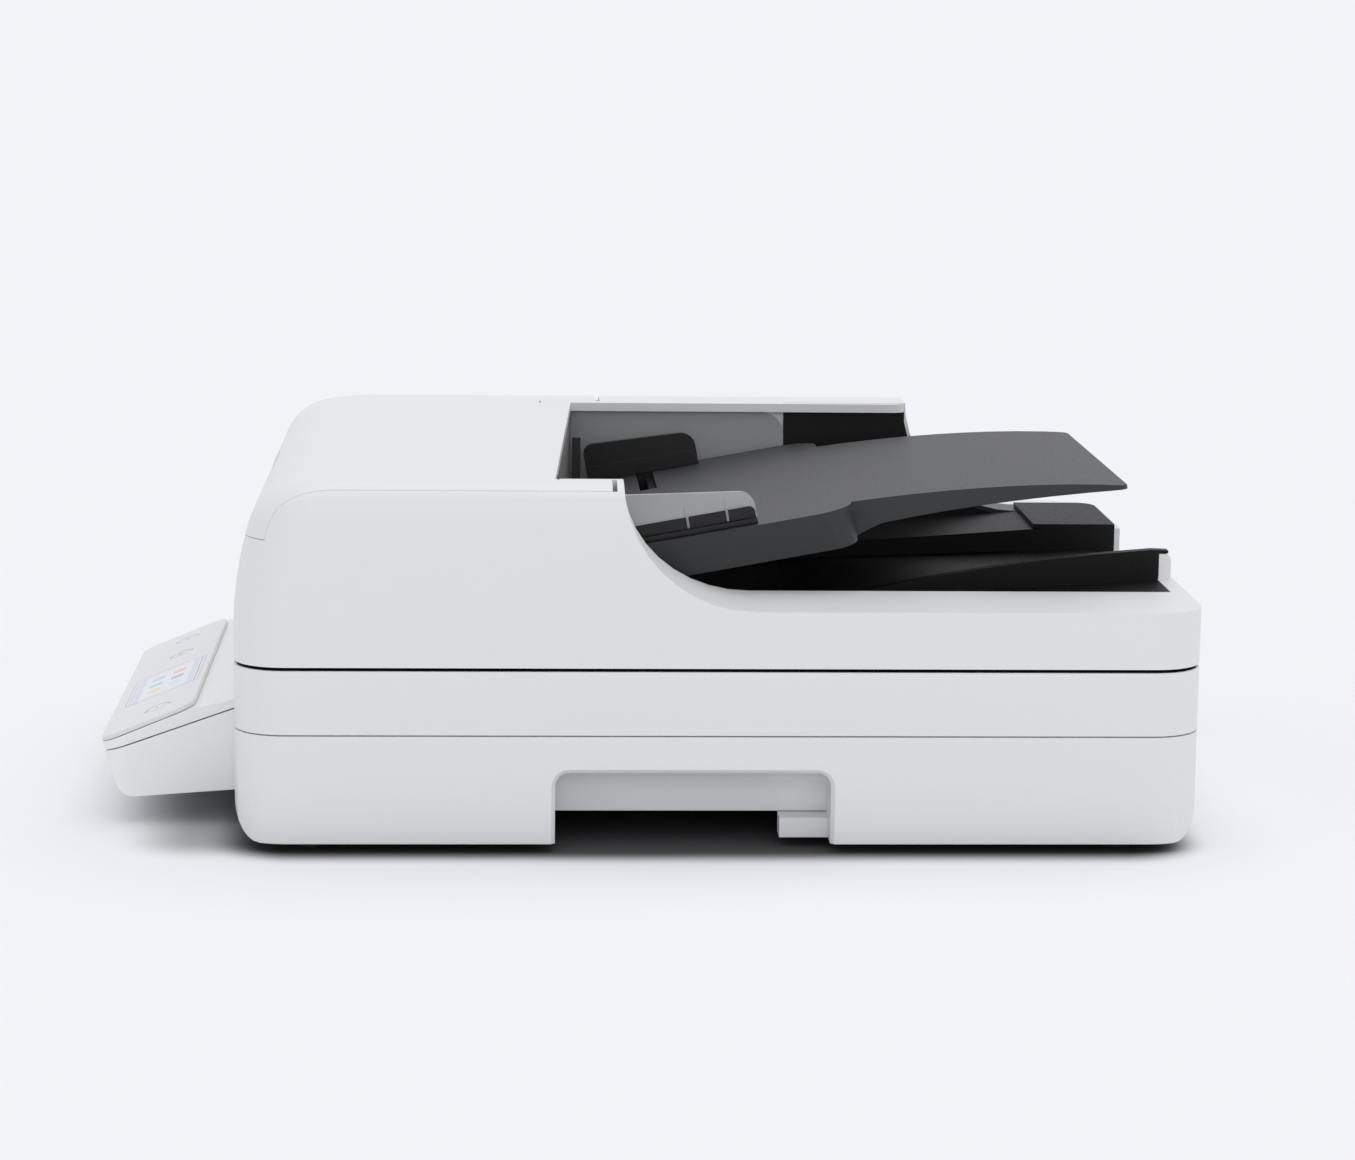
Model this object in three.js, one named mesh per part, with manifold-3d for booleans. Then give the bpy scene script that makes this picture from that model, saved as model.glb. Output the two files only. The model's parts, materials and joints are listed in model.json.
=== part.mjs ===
// Flatbed scanner with a sheet feeder in its lid, as an assembly of its separate pieces.
// Millimetres, +Z up. +X is the user's right, -Y is the front, where the control panel stands out.
// Depths (d) run from the casing's front wall to the rear.
// Heights (h) in the lid run from the lid's lower edge.
import * as THREE from 'three';
import { mergeVertices } from 'three/addons/utils/BufferGeometryUtils.js';
import Module from 'manifold-3d';

// Casing
const bodyWidth = 351;
const bodyLength = 451;
const bodyCorner = 24;
const panelReach = 66.4;
const skirt = 4.5;
const tubRise = 50.7;
const seamGap = 0.6;
const frameRise = 29.9;
const lidGap = 1.7;
const wall = 2.6;
const gap = 0.3;
const runGap = 0.4;
const over = 5;

// Tub: the lower casing
const endCurveDepth = 12.6;
const endCurveHeight = 20;
const floorRise = 10;
const floorThick = 2.5;
const recessFront = 149;
const recessLength = 128;
const recessRise = 33.5;
const recessDepth = 25.5;
const recessScoop = 16;
const recessCorner = 6.5;
const recessBevel = 1.8;
const recessBlockLength = 23;
const recessBlockWide = 13;
const footRadius = 8.5;
const footBossWall = 2.4;
const footProud = 0.7;
const footRound = 1.2;
const footInsetX = 17.5;
const footFront = 35;
const footRear = 39;
const boardLength = 52;
const boardWidth = 44;
const boardThick = 1.6;
const boardRise = 4;
const chipSize = 14;
const chipThick = 3;
const connectorWide = 30;
const connectorDeep = 7;
const connectorHigh = 8;
const bossRadius = 3.5;
const portWidth = 56;
const portHeight = 20;
const portRise = 6;
const portFromSide = 24;
const portPlateThick = 2;
const portFlange = 2;
const usbWide = 12;
const usbHigh = 11;
const lanWide = 16;
const lanHigh = 13;
const jackRadius = 5;
const jackPinRadius = 1;
const socketDeep = 14;
const socketWall = 1.2;

// Frame: the upper casing with the glass
const deckThick = 2.5;
const lipDrop = 5;
const lipThick = 1.6;
const platenMargin = 0.5;
const platenBackRoom = 46;
const platenPast = 14;
const glassThick = 3.2;
const glassLap = 7;
const feedWindowInset = 3;
const feedWindowLong = 14;
const feedWindowShort = 95;
const feedGlassLap = 5;

// Scan carriage and its drive
const carriageWide = 228;
const carriageLong = 36;
const carriageFront = 62;
const carriageTop = 3.7;
const carriageTall = 32;
const opticSlot = 4;
const opticDeep = 16;
const lightWide = 4;
const lightDeep = 4.6;
const carriageEnd = 6;
const rodRadius = 4;
const rodX = 60;
const rodRise = 13;
const bushWall = 6;
const bushLong = 28;
const rodBossLong = 8;
const railX = -100;
const railWide = 8;
const railRise = 15.7;
const railBack = 38;
const beltX = 88;
const beltRise = 10;
const beltHigh = 6;
const beltThick = 1.2;
const pulleyRadius = 6.5;
const pulleyFlange = 8.8;
const flangeThick = 0.8;
const pulleyTeeth = 12;
const toothDeep = 0.7;
const pulleyFront = 24;
const pulleyRear = 21;
const pinRadius = 2;
const clipThick = 3;
const clipLong = 16;
const motorRadius = 16;
const motorTall = 22;
const motorFlange = 40;
const motorFlangeThick = 2;
const motorPostRadius = 4;

// Control panel: its face is tilted towards the user
const panelWide = 232;
const panelCorner = 14;
const faceTilt = 22.3;
const faceWide = 226;
const faceLong = 47.7;
const faceThick = 2;
const faceCorner = 9;
const faceFootRise = 40.2;
const faceProud = 0.3;
const seamReach = 64.3;
const seamRise = 33.8;
const seamSlope = 0.355;
const housingLean = 4.8;
const housingDrop = 14.3;
const housingRound = 9;
const housingFoot = 13;
const housingRear = 16.8;
const noseRise = 4.6;
const noseReach = 2;
const coverEnd = 61;
const neckWide = 110;
const neckLow = 25;
const neckHigh = 45;
const neckLong = 6;
const displayWide = 61;
const displayLong = 34.5;
const displayX = 18.5;
const displayUp = 1.3;
const displayThick = 1;
const displayBezel = 1.2;
const keyRadius = 6.2;
const keyTall = 3.6;
const keyRightX = 87;
const keyLeftX = -49;
const keyStartX = -90.5;
const keyUp = 3;

// Lid shell: feeder hump at the front, low rim behind it, a long arm on the left
const rimRise = 26.6;
const humpRise = 85.1;
const leanStart = 13.5;
const leanAngle = 16;
const leanSteps = 4;
const archDepth = 36;
const archRadius = 30;
const edgeRadius = 14;
const scoopRadius = 61.5;
const scoopPast = 68;
const armShort = 47.5;
const armWidth = 44.5;
const armLip = 5;
const armLipThick = 4.5;
const armTipRadius = 7;
const rimDeck = 57.5;
const mouthStrip = 20.5;
const mouthRightShort = 24.5;
const mouthLeftShort = 12.1;
const stripShort = 28;
const stripSwing = 0.6;
const shoulderRise = 76.6;
const wallLean = 34.5;
const channelShort = 23;
const rearWall = 8;
const notchLeft = -76;
const notchRight = 77;
const notchFloor = 9;
const ribWidth = 6;
const ribTop = 39.2;
const ribRound = 3;

// Lid underside, pad and hinges
const plateRise = 0.8;
const plateThick = 2.7;
const padInset = 4;
const padTouch = 0.5;
const hingeInset = 50.5;
const hingeSetback = 4.5;
const hingeRise = 9.6;
const knuckleRadius = 4.2;
const knuckleHalf = 6.6;
const hingePinRadius = 2;
const lugThick = 5;
const postWide = 18;
const postThick = 9;
const postSetback = 7.5;
const postDeep = 43.5;
const sleeveThick = 2;
const sleeveDeep = 24;
const pocketHalf = 13.5;
const pocketDeep = 19;
const pocketRise = 15.6;

// Feeder cover, its pins and its latch
const coverSide = 5;
const coverSkin = 2.6;
const coverLow = 58.6;
const coverPast = 1.5;
const coverRelief = 2.2;
const coverPinSetback = 10;
const coverPinDrop = 6.2;
const coverPegReach = 4.1;
const coverBossLong = 3.4;
const coverPinRadius = 1.5;
const coverEar = 3.1;
const earThick = 4;
const latchHalf = 30;
const latchTall = 13.6;
const latchLift = 1.9;
const latchSunk = 1;
const latchRodRadius = 2.4;
const latchRodDepth = 18;
const latchRodDrop = 2;
const latchStub = 4;
const latchLug = 4;
const latchStubRadius = 1.5;
const latchHookHalf = 8;
const latchHookDrop = 6;
const latchHookThick = 2;
const latchShank = 11;
const latchShankTop = 66.6;
const latchBarb = 1.8;
const latchBarbTall = 2.2;
const latchLedge = 1.6;
const latchPass = 1.1;

// Sheet path: rollers on shafts between the chassis side plates
const driveRoom = 60.5;
const sideThick = 2.4;
const chassisRise = 3.9;
const guideThick = 2.2;
const shaftRadius = 4;
const boreGap = 0.3;
const turnShort = 111;
const turnRise = 21.1;
const turnRadius = 13.5;
const turnGap = 2.7;
const gearModule = 1.25;
const turnTeeth = 24;
const feedTeeth = 20;
const pinionTeeth = 12;
const feedAngle = 40;
const motorAngle = 115;
const gearThick = 5;
const gearBack = 2;
const feedRadius = 9;
const feedHalf = 18;
const separationRadius = 8;
const separationHalf = 12;
const nipGap = 0.8;
const pickRadius = 9;
const pickShort = 45;
const armPlate = 2.4;
const armInnerHalf = 21;
const exitShort = 15;
const exitRise = 24.6;
const exitRadius = 9;
const pinchRadius = 4.5;
const pinchShaft = 2;
const sleeveHalf = 20;
const sleeveEndRoom = 40;
const exitBeltThick = 1.2;
const exitPulleyRadius = 7;
const exitBeltWide = 5;
const rampShort = 75;
const rampLow = 6.4;
const chassisPast = 3;
const rampHigh = 15.4;
const hopperFrontShort = 95;
const hopperShort = 9;
const postTop = 68.5;
const postFrontShort = 11.5;
const postBackShort = 7;
const feedMotorRadius = 15;
const feedMotorLong = 26;
const motorShaftRadius = 2;
const backingShort = 93.5;
const backingLong = 11;
const backingTall = 5.5;

// Input tray, tilted; local v runs up its slope from the pivot and w stands square to it
const traySlope = 10.5;
const trayPivotDepth = 173;
const trayPivotRise = 38.7;
const trayTop = 6.4;
const trayUnder = 12.2;
const traySide = 6;
const trayDraft = 3;
const slabLong = 121;
const slabCorner = 20;
const tongueInset = 10.5;
const tongueLong = 254;
const tongueDrop = 16.6;
const tongueBend = 190;
const tongueBendDrop = 1.9;
const tongueTip = 1.9;
const tongueRoot = 134;
const tongueRootLow = 7.1;
const tongueBelly = 185;
const tongueBellyLow = 5.2;
const tongueCorner = 5;
const trayWall = 2.6;
const trayFrontBar = 14;
const trayPinRadius = 3;
const bottomThick = 2;

// Paper guides with their racks and pinion
const sheetSide = 6.5;
const guideThickness = 2.2;
const guideFoot = 7.7;
const guideFootTall = 2.4;
const guideTravel = 60;
const guideRightFront = 11;
const guideRightBack = 74.7;
const guideRightTall = 24.6;
const guideRightLow = 15.2;
const guideBaseTall = 8.2;
const guideLeftFront = -1.5;
const guideLeftBack = 58.2;
const guideLeftTall = 20.6;
const guideLeftLow = 17.5;
const guideLeftNose = 5;
const guideRound = 8;
const guideBaseRound = 7;
const guideRail = 1.2;
const guideWindowThick = 2.2;
const guideRibs = [42, 61];
const guideRibWide = 1.2;
const guideRibProud = 0.6;
const rackModule = 1.5;
const rackPinionTeeth = 16;
const rackPinionV = 48;
const rackTall = 6.6;
const rackBack = 5;
const stemWide = 5;
const stemLong = 8;
const stemInset = 1.5;
const rackTeeth = 18;
const pinionBore = 2.6;

// Output tray insert
const trayEdgePast = 5.5;
const floorFrontRise = 9.5;
const floorRearRise = 26.4;
const valleyFrontRise = 6.6;
const valleyRearRise = 16.2;
const valleyLip = 11.6;
const valleyBendShort = 17;
const deckFrontRise = 10.6;
const deckRearRise = 29.2;
const ridgeStart = 270;
const ridgeStartRise = 13;
const ridgeBendShort = 101;
const ridgeBendRise = 34.6;
const ridgeRise = 41.2;
const insertRise = 3.9;
const insertThick = 2.4;
const insertShort = 3.3;
const flangeShort = 46.5;
const flangeInset = 25.5;
const flangeCorner = 10;
const farSideTop = 80;
const farSideThick = 2;
const linerPast = 103;
const linerLow = 33;
const linerThick = 2;
const linerRound = 12;

// Values worked out from the sizes above
const halfWidth = bodyWidth / 2;
const tubTop = skirt + tubRise;
const frameLow = tubTop + seamGap;
const deckHeight = frameLow + frameRise;
const lidBase = deckHeight + lidGap;
const floorLow = skirt + floorRise;
const floorTop = floorLow + floorThick;
const glassTop = deckHeight - deckThick - gap;
const glassLow = glassTop - glassThick;
const rodHeight = floorTop + rodRise;
const beltLow = floorTop + beltRise;
const beltRadius = pulleyRadius + gap;
const idlerDepth = bodyLength - pulleyRear;
const hingeDepth = bodyLength - hingeSetback;
const postBackDepth = bodyLength - postSetback;
const postFrontDepth = postBackDepth - postThick;
const chassisHalf = halfWidth - driveRoom;
const sheetHalf = chassisHalf - sheetSide;
const trayHalf = chassisHalf + traySide;
const tongueHalf = sheetHalf - tongueInset;
const platenWide = 2 * (sheetHalf + platenMargin);
const feedWindowWide = 2 * (chassisHalf - feedWindowInset);
const hingeX = halfWidth - hingeInset;
const flangeLeft = flangeInset - halfWidth;
const coverHalf = halfWidth - coverSide;
const coverBack = trayPivotDepth + coverPast;
const mouthFrontRight = trayPivotDepth - mouthRightShort;
const mouthFrontLeft = trayPivotDepth - mouthLeftShort;
const stripFront = trayPivotDepth - stripShort;
const channelFront = trayPivotDepth - channelShort;
const exitDepth = trayPivotDepth - exitShort;
const chassisBack = trayPivotDepth + chassisPast;
const hopperBack = trayPivotDepth - hopperShort;
const postFront = trayPivotDepth - postFrontShort;
const postBack = trayPivotDepth - postBackShort;
const trayEdge = trayPivotDepth + trayEdgePast;
const linerBack = trayPivotDepth + linerPast;
const sleevePitch = chassisHalf - sleeveEndRoom;
const scoopEnd = trayPivotDepth + scoopPast;
const armEnd = bodyLength - armShort;
const turnDepth = trayPivotDepth - turnShort;
const pickDepth = trayPivotDepth - pickShort;
const rampFront = trayPivotDepth - rampShort;
const hopperFront = trayPivotDepth - hopperFrontShort;
const backingFront = trayPivotDepth - backingShort;
const feedWindowFront = trayPivotDepth - feedWindowShort;
const platenFront = feedWindowFront + feedWindowLong + platenPast;
const platenLong = bodyLength - platenBackRoom - platenFront;
const valleyBend = bodyLength - valleyBendShort;
const insertReach = bodyLength - insertShort;
const flangeFront = bodyLength - flangeShort;
const ridgeBend = bodyLength - ridgeBendShort;
const channelRight = halfWidth - rimDeck;
const mouthRight = halfWidth - mouthStrip;
const armInner = -(halfWidth - armWidth);
const channelLeft = armInner - armLip;
const channelBack = bodyLength - rearWall;
const archCentre = humpRise - archRadius;
const leanDepth = archDepth - archRadius * Math.cos(THREE.MathUtils.degToRad(leanAngle));
const steps = 7;
const fineSteps = 10;

const wasm = await Module();
wasm.setup();

// Solids: a closed geometry becomes a manifold solid, and back
function toSolid(geometry) {
  const bare = new THREE.BufferGeometry();
  bare.setAttribute('position', geometry.getAttribute('position').clone());
  if (geometry.index) bare.setIndex(geometry.index.clone());
  const merged = mergeVertices(bare, 1e-4);
  const p = merged.getAttribute('position').array;
  const tri = Array.from(merged.index.array);
  const kept = [];
  let volume = 0;
  for (let i = 0; i < tri.length; i += 3) {
    const [a, b, c] = [tri[i], tri[i + 1], tri[i + 2]];
    if (a === b || b === c || c === a) continue;
    kept.push(a, b, c);
    const va = new THREE.Vector3(p[3 * a], p[3 * a + 1], p[3 * a + 2]);
    const vb = new THREE.Vector3(p[3 * b], p[3 * b + 1], p[3 * b + 2]);
    const vc = new THREE.Vector3(p[3 * c], p[3 * c + 1], p[3 * c + 2]);
    volume += va.dot(vb.cross(vc));
  }
  if (volume < 0) kept.reverse();
  return new wasm.Manifold(new wasm.Mesh({
    numProp: 3, vertProperties: new Float32Array(p), triVerts: new Uint32Array(kept),
  }));
}

function toGeometry(solid) {
  const mesh = solid.getMesh();
  const geometry = new THREE.BufferGeometry();
  geometry.setAttribute('position', new THREE.Float32BufferAttribute(mesh.vertProperties, 3));
  geometry.setIndex(new THREE.Uint32BufferAttribute(mesh.triVerts, 1));
  geometry.computeVertexNormals();
  return geometry;
}

const join = (first, ...rest) => rest.reduce((whole, more) => whole.add(more), first);
const cut = (first, ...rest) => rest.reduce((whole, less) => whole.subtract(less), first);
const common = (first, ...rest) => rest.reduce((whole, more) => whole.intersect(more), first);

// Outlines are lists of [a, b] points
function arc(ca, cb, ra, rb, from, to, count = steps) {
  const points = [];
  for (let i = 0; i <= count; i++) {
    const angle = THREE.MathUtils.degToRad(from + (to - from) * i / count);
    points.push([ca + ra * Math.cos(angle), cb + rb * Math.sin(angle)]);
  }
  return points;
}

const box2 = (a0, b0, a1, b1) => [[a0, b0], [a1, b0], [a1, b1], [a0, b1]];

// A rectangle with rounded corners; radii run from the (a0, b0) corner round by (a1,
// b0) and (a1, b1) to (a0, b1)
function rounded(a0, b0, a1, b1, radii, count = steps) {
  const r = Array.isArray(radii) ? radii : [radii, radii, radii, radii];
  const corners = [[a0, b0, 1, 1, 180], [a1, b0, -1, 1, 270], [a1, b1, -1, -1, 0], [a0, b1, 1, -1, 90]];
  return corners.flatMap(([a, b, sa, sb, from], i) => (
    r[i] > 0 ? arc(a + sa * r[i], b + sb * r[i], r[i], r[i], from, from + 90, count) : [[a, b]]));
}

const circle = (ca, cb, radius, count = 16) => arc(ca, cb, radius, radius, 0, 360, count).slice(0, -1);

function extrude(points, depth) {
  const shape = new THREE.Shape(points.map(([a, b]) => new THREE.Vector2(a, b)));
  return new THREE.ExtrudeGeometry(shape, { depth, bevelEnabled: false, steps: 1 });
}

const axisX = new THREE.Vector3(1, 0, 0);
const axisY = new THREE.Vector3(0, 1, 0);
const axisZ = new THREE.Vector3(0, 0, 1);

// prismX takes (depth, height) outlines, prismY takes (x, height) and prismZ takes (x, depth)
function prismX(points, x0, x1) {
  const geometry = extrude(points, x1 - x0);
  geometry.applyMatrix4(new THREE.Matrix4().makeBasis(axisY, axisZ, axisX).setPosition(x0, 0, 0));
  return toSolid(geometry);
}

function prismY(points, y0, y1) {
  const geometry = extrude(points, y1 - y0);
  const back = axisY.clone().negate();
  geometry.applyMatrix4(new THREE.Matrix4().makeBasis(axisX, axisZ, back).setPosition(0, y1, 0));
  return toSolid(geometry);
}

function prismZ(points, z0, z1) {
  const geometry = extrude(points, z1 - z0);
  geometry.translate(0, 0, z0);
  return toSolid(geometry);
}

const block = (x0, x1, y0, y1, z0, z1) => prismZ(box2(x0, y0, x1, y1), z0, z1);
const rodX_ = (y, z, radius, x0, x1, count = 16) => prismX(circle(y, z, radius, count), x0, x1);
const rodZ = (x, y, radius, z0, z1, count = 16) => prismZ(circle(x, y, radius, count), z0, z1);

// A turned piece about a line along X through (y, z); its profile is [radius, x] points from end to end
function turnedX(profile, y, z, count = 20) {
  const geometry = new THREE.LatheGeometry(profile.map(([r, x]) => new THREE.Vector2(r, x)), count);
  const down = axisZ.clone().negate();
  geometry.applyMatrix4(new THREE.Matrix4().makeBasis(axisY, axisX, down).setPosition(0, y, z));
  return toSolid(geometry);
}

function turnedZ(profile, x, y, count = 20) {
  const geometry = new THREE.LatheGeometry(profile.map(([r, z]) => new THREE.Vector2(r, z)), count);
  const back = axisY.clone().negate();
  geometry.applyMatrix4(new THREE.Matrix4().makeBasis(axisX, axisZ, back).setPosition(x, y, 0));
  return toSolid(geometry);
}

// A solid through a stack of rings of [x, y, z] points, all with the same count
function loft(rings) {
  const count = rings[0].length;
  const positions = rings.flat(2);
  const index = [];
  for (let k = 0; k + 1 < rings.length; k++) {
    for (let i = 0; i < count; i++) {
      const [a, b] = [k * count + i, k * count + (i + 1) % count];
      index.push(a, b, b + count, a, b + count, a + count);
    }
  }
  const contour = rings[0].map(([x, y]) => new THREE.Vector2(x, y));
  const top = (rings.length - 1) * count;
  for (const [a, b, c] of THREE.ShapeUtils.triangulateShape(contour, [])) {
    index.push(a, c, b, top + a, top + b, top + c);
  }
  const geometry = new THREE.BufferGeometry();
  geometry.setAttribute('position', new THREE.Float32BufferAttribute(positions, 3));
  geometry.setIndex(index);
  return toSolid(geometry);
}

// Gear outline with involute flanks, thinned for backlash; the phase is the angle of one tooth in degrees
function gearOutline(teeth, module, phase) {
  const pitch = module * teeth / 2;
  const base = pitch * Math.cos(THREE.MathUtils.degToRad(20));
  const involute = (r) => {
    const pressure = Math.acos(Math.min(1, base / r));
    return Math.tan(pressure) - pressure;
  };
  const toothShare = 0.41;
  const halfAtPitch = Math.PI * toothShare / teeth;
  const halfAt = (r) => halfAtPitch + involute(pitch) - involute(Math.max(r, base));
  const radii = [pitch - 1.2 * module, pitch + 0.9 * module];
  const points = [];
  for (let i = 0; i < teeth; i++) {
    const centre = THREE.MathUtils.degToRad(phase) + 2 * Math.PI * i / teeth;
    for (const r of radii) points.push([r, centre - halfAt(r)]);
    for (const r of [...radii].reverse()) points.push([r, centre + halfAt(r)]);
  }
  return points.map(([r, angle]) => [r * Math.cos(angle), r * Math.sin(angle)]);
}

// Phase that puts a gap of the second gear opposite a tooth of the first; direction is
// the angle from first to second
function meshedPhase(firstTeeth, firstPhase, secondTeeth, direction) {
  const firstPitch = 360 / firstTeeth;
  const secondPitch = 360 / secondTeeth;
  const lag = (firstPhase - direction) / firstPitch;
  return direction + 180 - (lag + 0.5) * secondPitch;
}

const shift = (points, da, db) => points.map(([a, b]) => [a + da, b + db]);

// Materials
const paint = (color, roughness, metalness = 0, extra = {}) => (
  new THREE.MeshStandardMaterial({ color, roughness, metalness, ...extra }));
const white = () => paint(0xe6e6e8, 0.5);
const paleGrey = () => paint(0xc9cacc, 0.55);
const midGrey = () => paint(0x8f9092, 0.6);
const darkGrey = () => paint(0x3c3c3d, 0.6);
const black = () => paint(0x19191a, 0.55);
const rubber = () => paint(0x232324, 0.9);
const steel = () => paint(0xb9bcc0, 0.3, 0.9);
const acetal = () => paint(0xe9e6dc, 0.45);
const clear = () => paint(0xaeb4b8, 0.08, 0, { transparent: true, opacity: 0.35 });

// The whole scanner: depths start at the casing's front wall, so the group is moved to centre the length
const scanner = new THREE.Group();
scanner.position.y = (panelReach - bodyLength) / 2;
const lid = new THREE.Group();
lid.position.z = lidBase;
const face = new THREE.Group();
const tray = new THREE.Group();
scanner.add(lid, face);
lid.add(tray);

function piece(name, solid, material, parent = scanner) {
  const mesh = new THREE.Mesh(toGeometry(solid), material);
  mesh.name = name;
  parent.add(mesh);
}

// Lower casing: rounded box with curved ends, a raised floor inside its skirt, and a hand recess in each side
function tubOutline(inset) {
  return rounded(-halfWidth + inset, inset, halfWidth - inset, bodyLength - inset, bodyCorner - inset);
}

function tubProfile(inset, low) {
  const rd = endCurveDepth;
  const rh = endCurveHeight;
  const curve = (centre, from) => arc(centre, skirt + rh, rd - inset, rh - inset, from, from + 90);
  const bottom = [...curve(rd, 180), ...curve(bodyLength - rd, 270)];
  const clipped = bottom.map(([d, h]) => [d, Math.max(h, low)]);
  return [...clipped, [bodyLength - inset, tubTop + over], [inset, tubTop + over]];
}

function recessSection(side, grow, low) {
  const outer = halfWidth + over;
  const back = halfWidth - recessDepth - grow;
  const top = skirt + recessRise + grow;
  const scoop = recessScoop + grow;
  const points = [[outer, low], [outer, top], ...arc(back + scoop, top - scoop, scoop, scoop, 90, 180),
    [back, low]];
  return points.map(([x, h]) => [side * x, h]);
}

function recessOutline(grow, low) {
  const radius = recessCorner + grow;
  const end = recessFront + recessLength + grow;
  return rounded(recessFront - grow, low, end, skirt + recessRise + grow, [0, 0, radius, radius], 4);
}

function recess(side, grow, low) {
  const edge = halfWidth + over;
  const [x0, x1] = side > 0 ? [0, edge] : [-edge, 0];
  return common(prismY(recessSection(side, grow, low), 0, bodyLength),
    prismX(recessOutline(grow, low), x0, x1));
}

function recessRim(side) {
  const ring = (x, grow) => recessOutline(grow, skirt - over).map(([d, h]) => [side * x, d, h]);
  const rings = [ring(halfWidth - recessBevel, 0), ring(halfWidth + gap, recessBevel + gap)];
  const flat = rings.map((points) => points.map(([x, d, h]) => [d, h, x]));
  if (side < 0) flat.reverse();
  const solid = loft(flat);
  const turn = new THREE.Matrix4().makeBasis(axisY, axisZ, axisX);
  const geometry = toGeometry(solid);
  geometry.applyMatrix4(turn);
  return toSolid(geometry);
}

const postX = [motorFlange / 2 - motorPostRadius, -motorFlange / 2 + motorPostRadius].map((x) => beltX + x);
const motorLow = beltLow + beltHigh + flangeThick + gap;

function buildTub() {
  const reach = halfWidth + over;
  const outer = common(prismZ(tubOutline(0), skirt, tubTop), prismX(tubProfile(0, skirt), -reach, reach));
  const inside = prismZ(tubOutline(wall), skirt - over, tubTop + over);
  const room = common(inside, prismX(tubProfile(wall, floorTop), -reach, reach));
  const open = block(-reach, reach, endCurveDepth + wall, bodyLength - endCurveDepth - wall, skirt - over,
    floorLow);
  const below = common(inside, join(prismX(tubProfile(wall, skirt - over), -reach, reach), open),
    block(-reach, reach, 0, bodyLength, skirt - over, floorLow));
  let tub = cut(outer, room, below);
  for (const side of [1, -1]) {
    const lining = common(recess(side, wall, floorLow), outer);
    const frontEnd = block(side > 0 ? halfWidth - recessDepth : -halfWidth + wall / 2,
      side > 0 ? halfWidth - wall / 2 : -halfWidth + recessDepth,
      recessFront - wall, recessFront + recessLength + wall, skirt, floorLow + gap);
    tub = cut(join(tub, lining, frontEnd), recess(side, 0, skirt - over), recessRim(side));
    const webRear = recessFront + recessLength + wall;
    const inner = halfWidth - recessDepth;
    const web = block(side > 0 ? inner : -inner - recessBlockWide,
      side > 0 ? inner + recessBlockWide : -inner,
      webRear - wall - recessBlockLength, webRear, skirt + gap, floorLow - gap);
    tub = join(tub, web);
    for (const d of [footFront, bodyLength - footRear]) {
      const x = side * (halfWidth - footInsetX);
      const boss = rodZ(x, d, footRadius + footBossWall, skirt + footProud + gap, floorTop);
      tub = join(tub, common(boss, outer));
    }
  }
  const rodEnd = (d0, d1) => cut(
    block(rodX - rodRadius - bossRadius, rodX + rodRadius + bossRadius, d0, d1, floorLow,
    rodHeight + rodRadius + bossRadius),
    prismY(circle(rodX, rodHeight, rodRadius + gap), d0 + bossRadius, d1 + over));
  const frontBoss = rodEnd(wall, wall + rodBossLong);
  const rearBoss = cut(
    block(rodX - rodRadius - bossRadius, rodX + rodRadius + bossRadius, bodyLength - wall - rodBossLong,
      bodyLength - wall, floorLow, rodHeight + rodRadius + bossRadius),
    prismY(circle(rodX, rodHeight, rodRadius + gap), 0, bodyLength - wall - bossRadius));
  const rail = block(railX - railWide / 2, railX + railWide / 2, wall, bodyLength - railBack, floorLow,
    floorTop + railRise);
  tub = join(tub, frontBoss, rearBoss, rail);
  tub = join(tub, rodZ(beltX, idlerDepth, pulleyFlange, floorLow, beltLow - flangeThick - gap, 16));
  tub = join(tub, rodZ(beltX, idlerDepth, pinRadius, floorLow, beltLow + beltHigh + flangeThick, 12));
  for (const x of postX) tub = join(tub, rodZ(x, pulleyFront, motorPostRadius, floorLow, motorLow - gap, 12));
  for (const [x, d] of boardPosts()) tub = join(tub,
    rodZ(x, d, bossRadius, floorLow, floorTop + boardRise, 10));
  const neck = block(-neckWide / 2 - gap, neckWide / 2 + gap, -over, wall + over, neckLow - gap,
    neckHigh + gap);
  const ports = block(portLeft, portLeft + portWidth, bodyLength - wall - over, bodyLength + over,
    floorTop + portRise, floorTop + portRise + portHeight);
  piece('base_tub', cut(tub, neck, ports), white());
}

const portLeft = -halfWidth + portFromSide;
const boardLeft = -halfWidth + portFromSide + wall;
const boardBack = bodyLength - wall - portFlange - gap - over;

function boardPosts() {
  const inset = bossRadius + gap;
  return [[boardLeft + inset, boardBack - inset], [boardLeft + boardWidth - inset, boardBack - inset],
    [boardLeft + inset, boardBack - boardLength + inset],
    [boardLeft + boardWidth - inset, boardBack - boardLength + inset]];
}

function buildFeet() {
  const profile = [[0, 0], [footRadius - footRound, 0], [footRadius, footRound],
    [footRadius, skirt + footProud], [0, skirt + footProud]];
  for (const [sideName, side] of [['right', 1], ['left', -1]]) {
    for (const [endName, d] of [['front', footFront], ['rear', bodyLength - footRear]]) {
      piece(`foot_${endName}_${sideName}`, turnedZ(profile, side * (halfWidth - footInsetX), d, 18),
        rubber());
    }
  }
}

// Upper casing: the deck with the platen window and the feeder's window, with sleeves for the hinge posts
const feedWindow = [-feedWindowWide / 2, feedWindowFront, feedWindowWide / 2,
  feedWindowFront + feedWindowLong];
const platenWindow = [-platenWide / 2, platenFront, platenWide / 2, platenFront + platenLong];

function windowGlass([x0, d0, x1, d1], lap, z0, z1) {
  return block(x0 - lap, x1 + lap, d0 - lap, d1 + lap, z0, z1);
}

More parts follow.
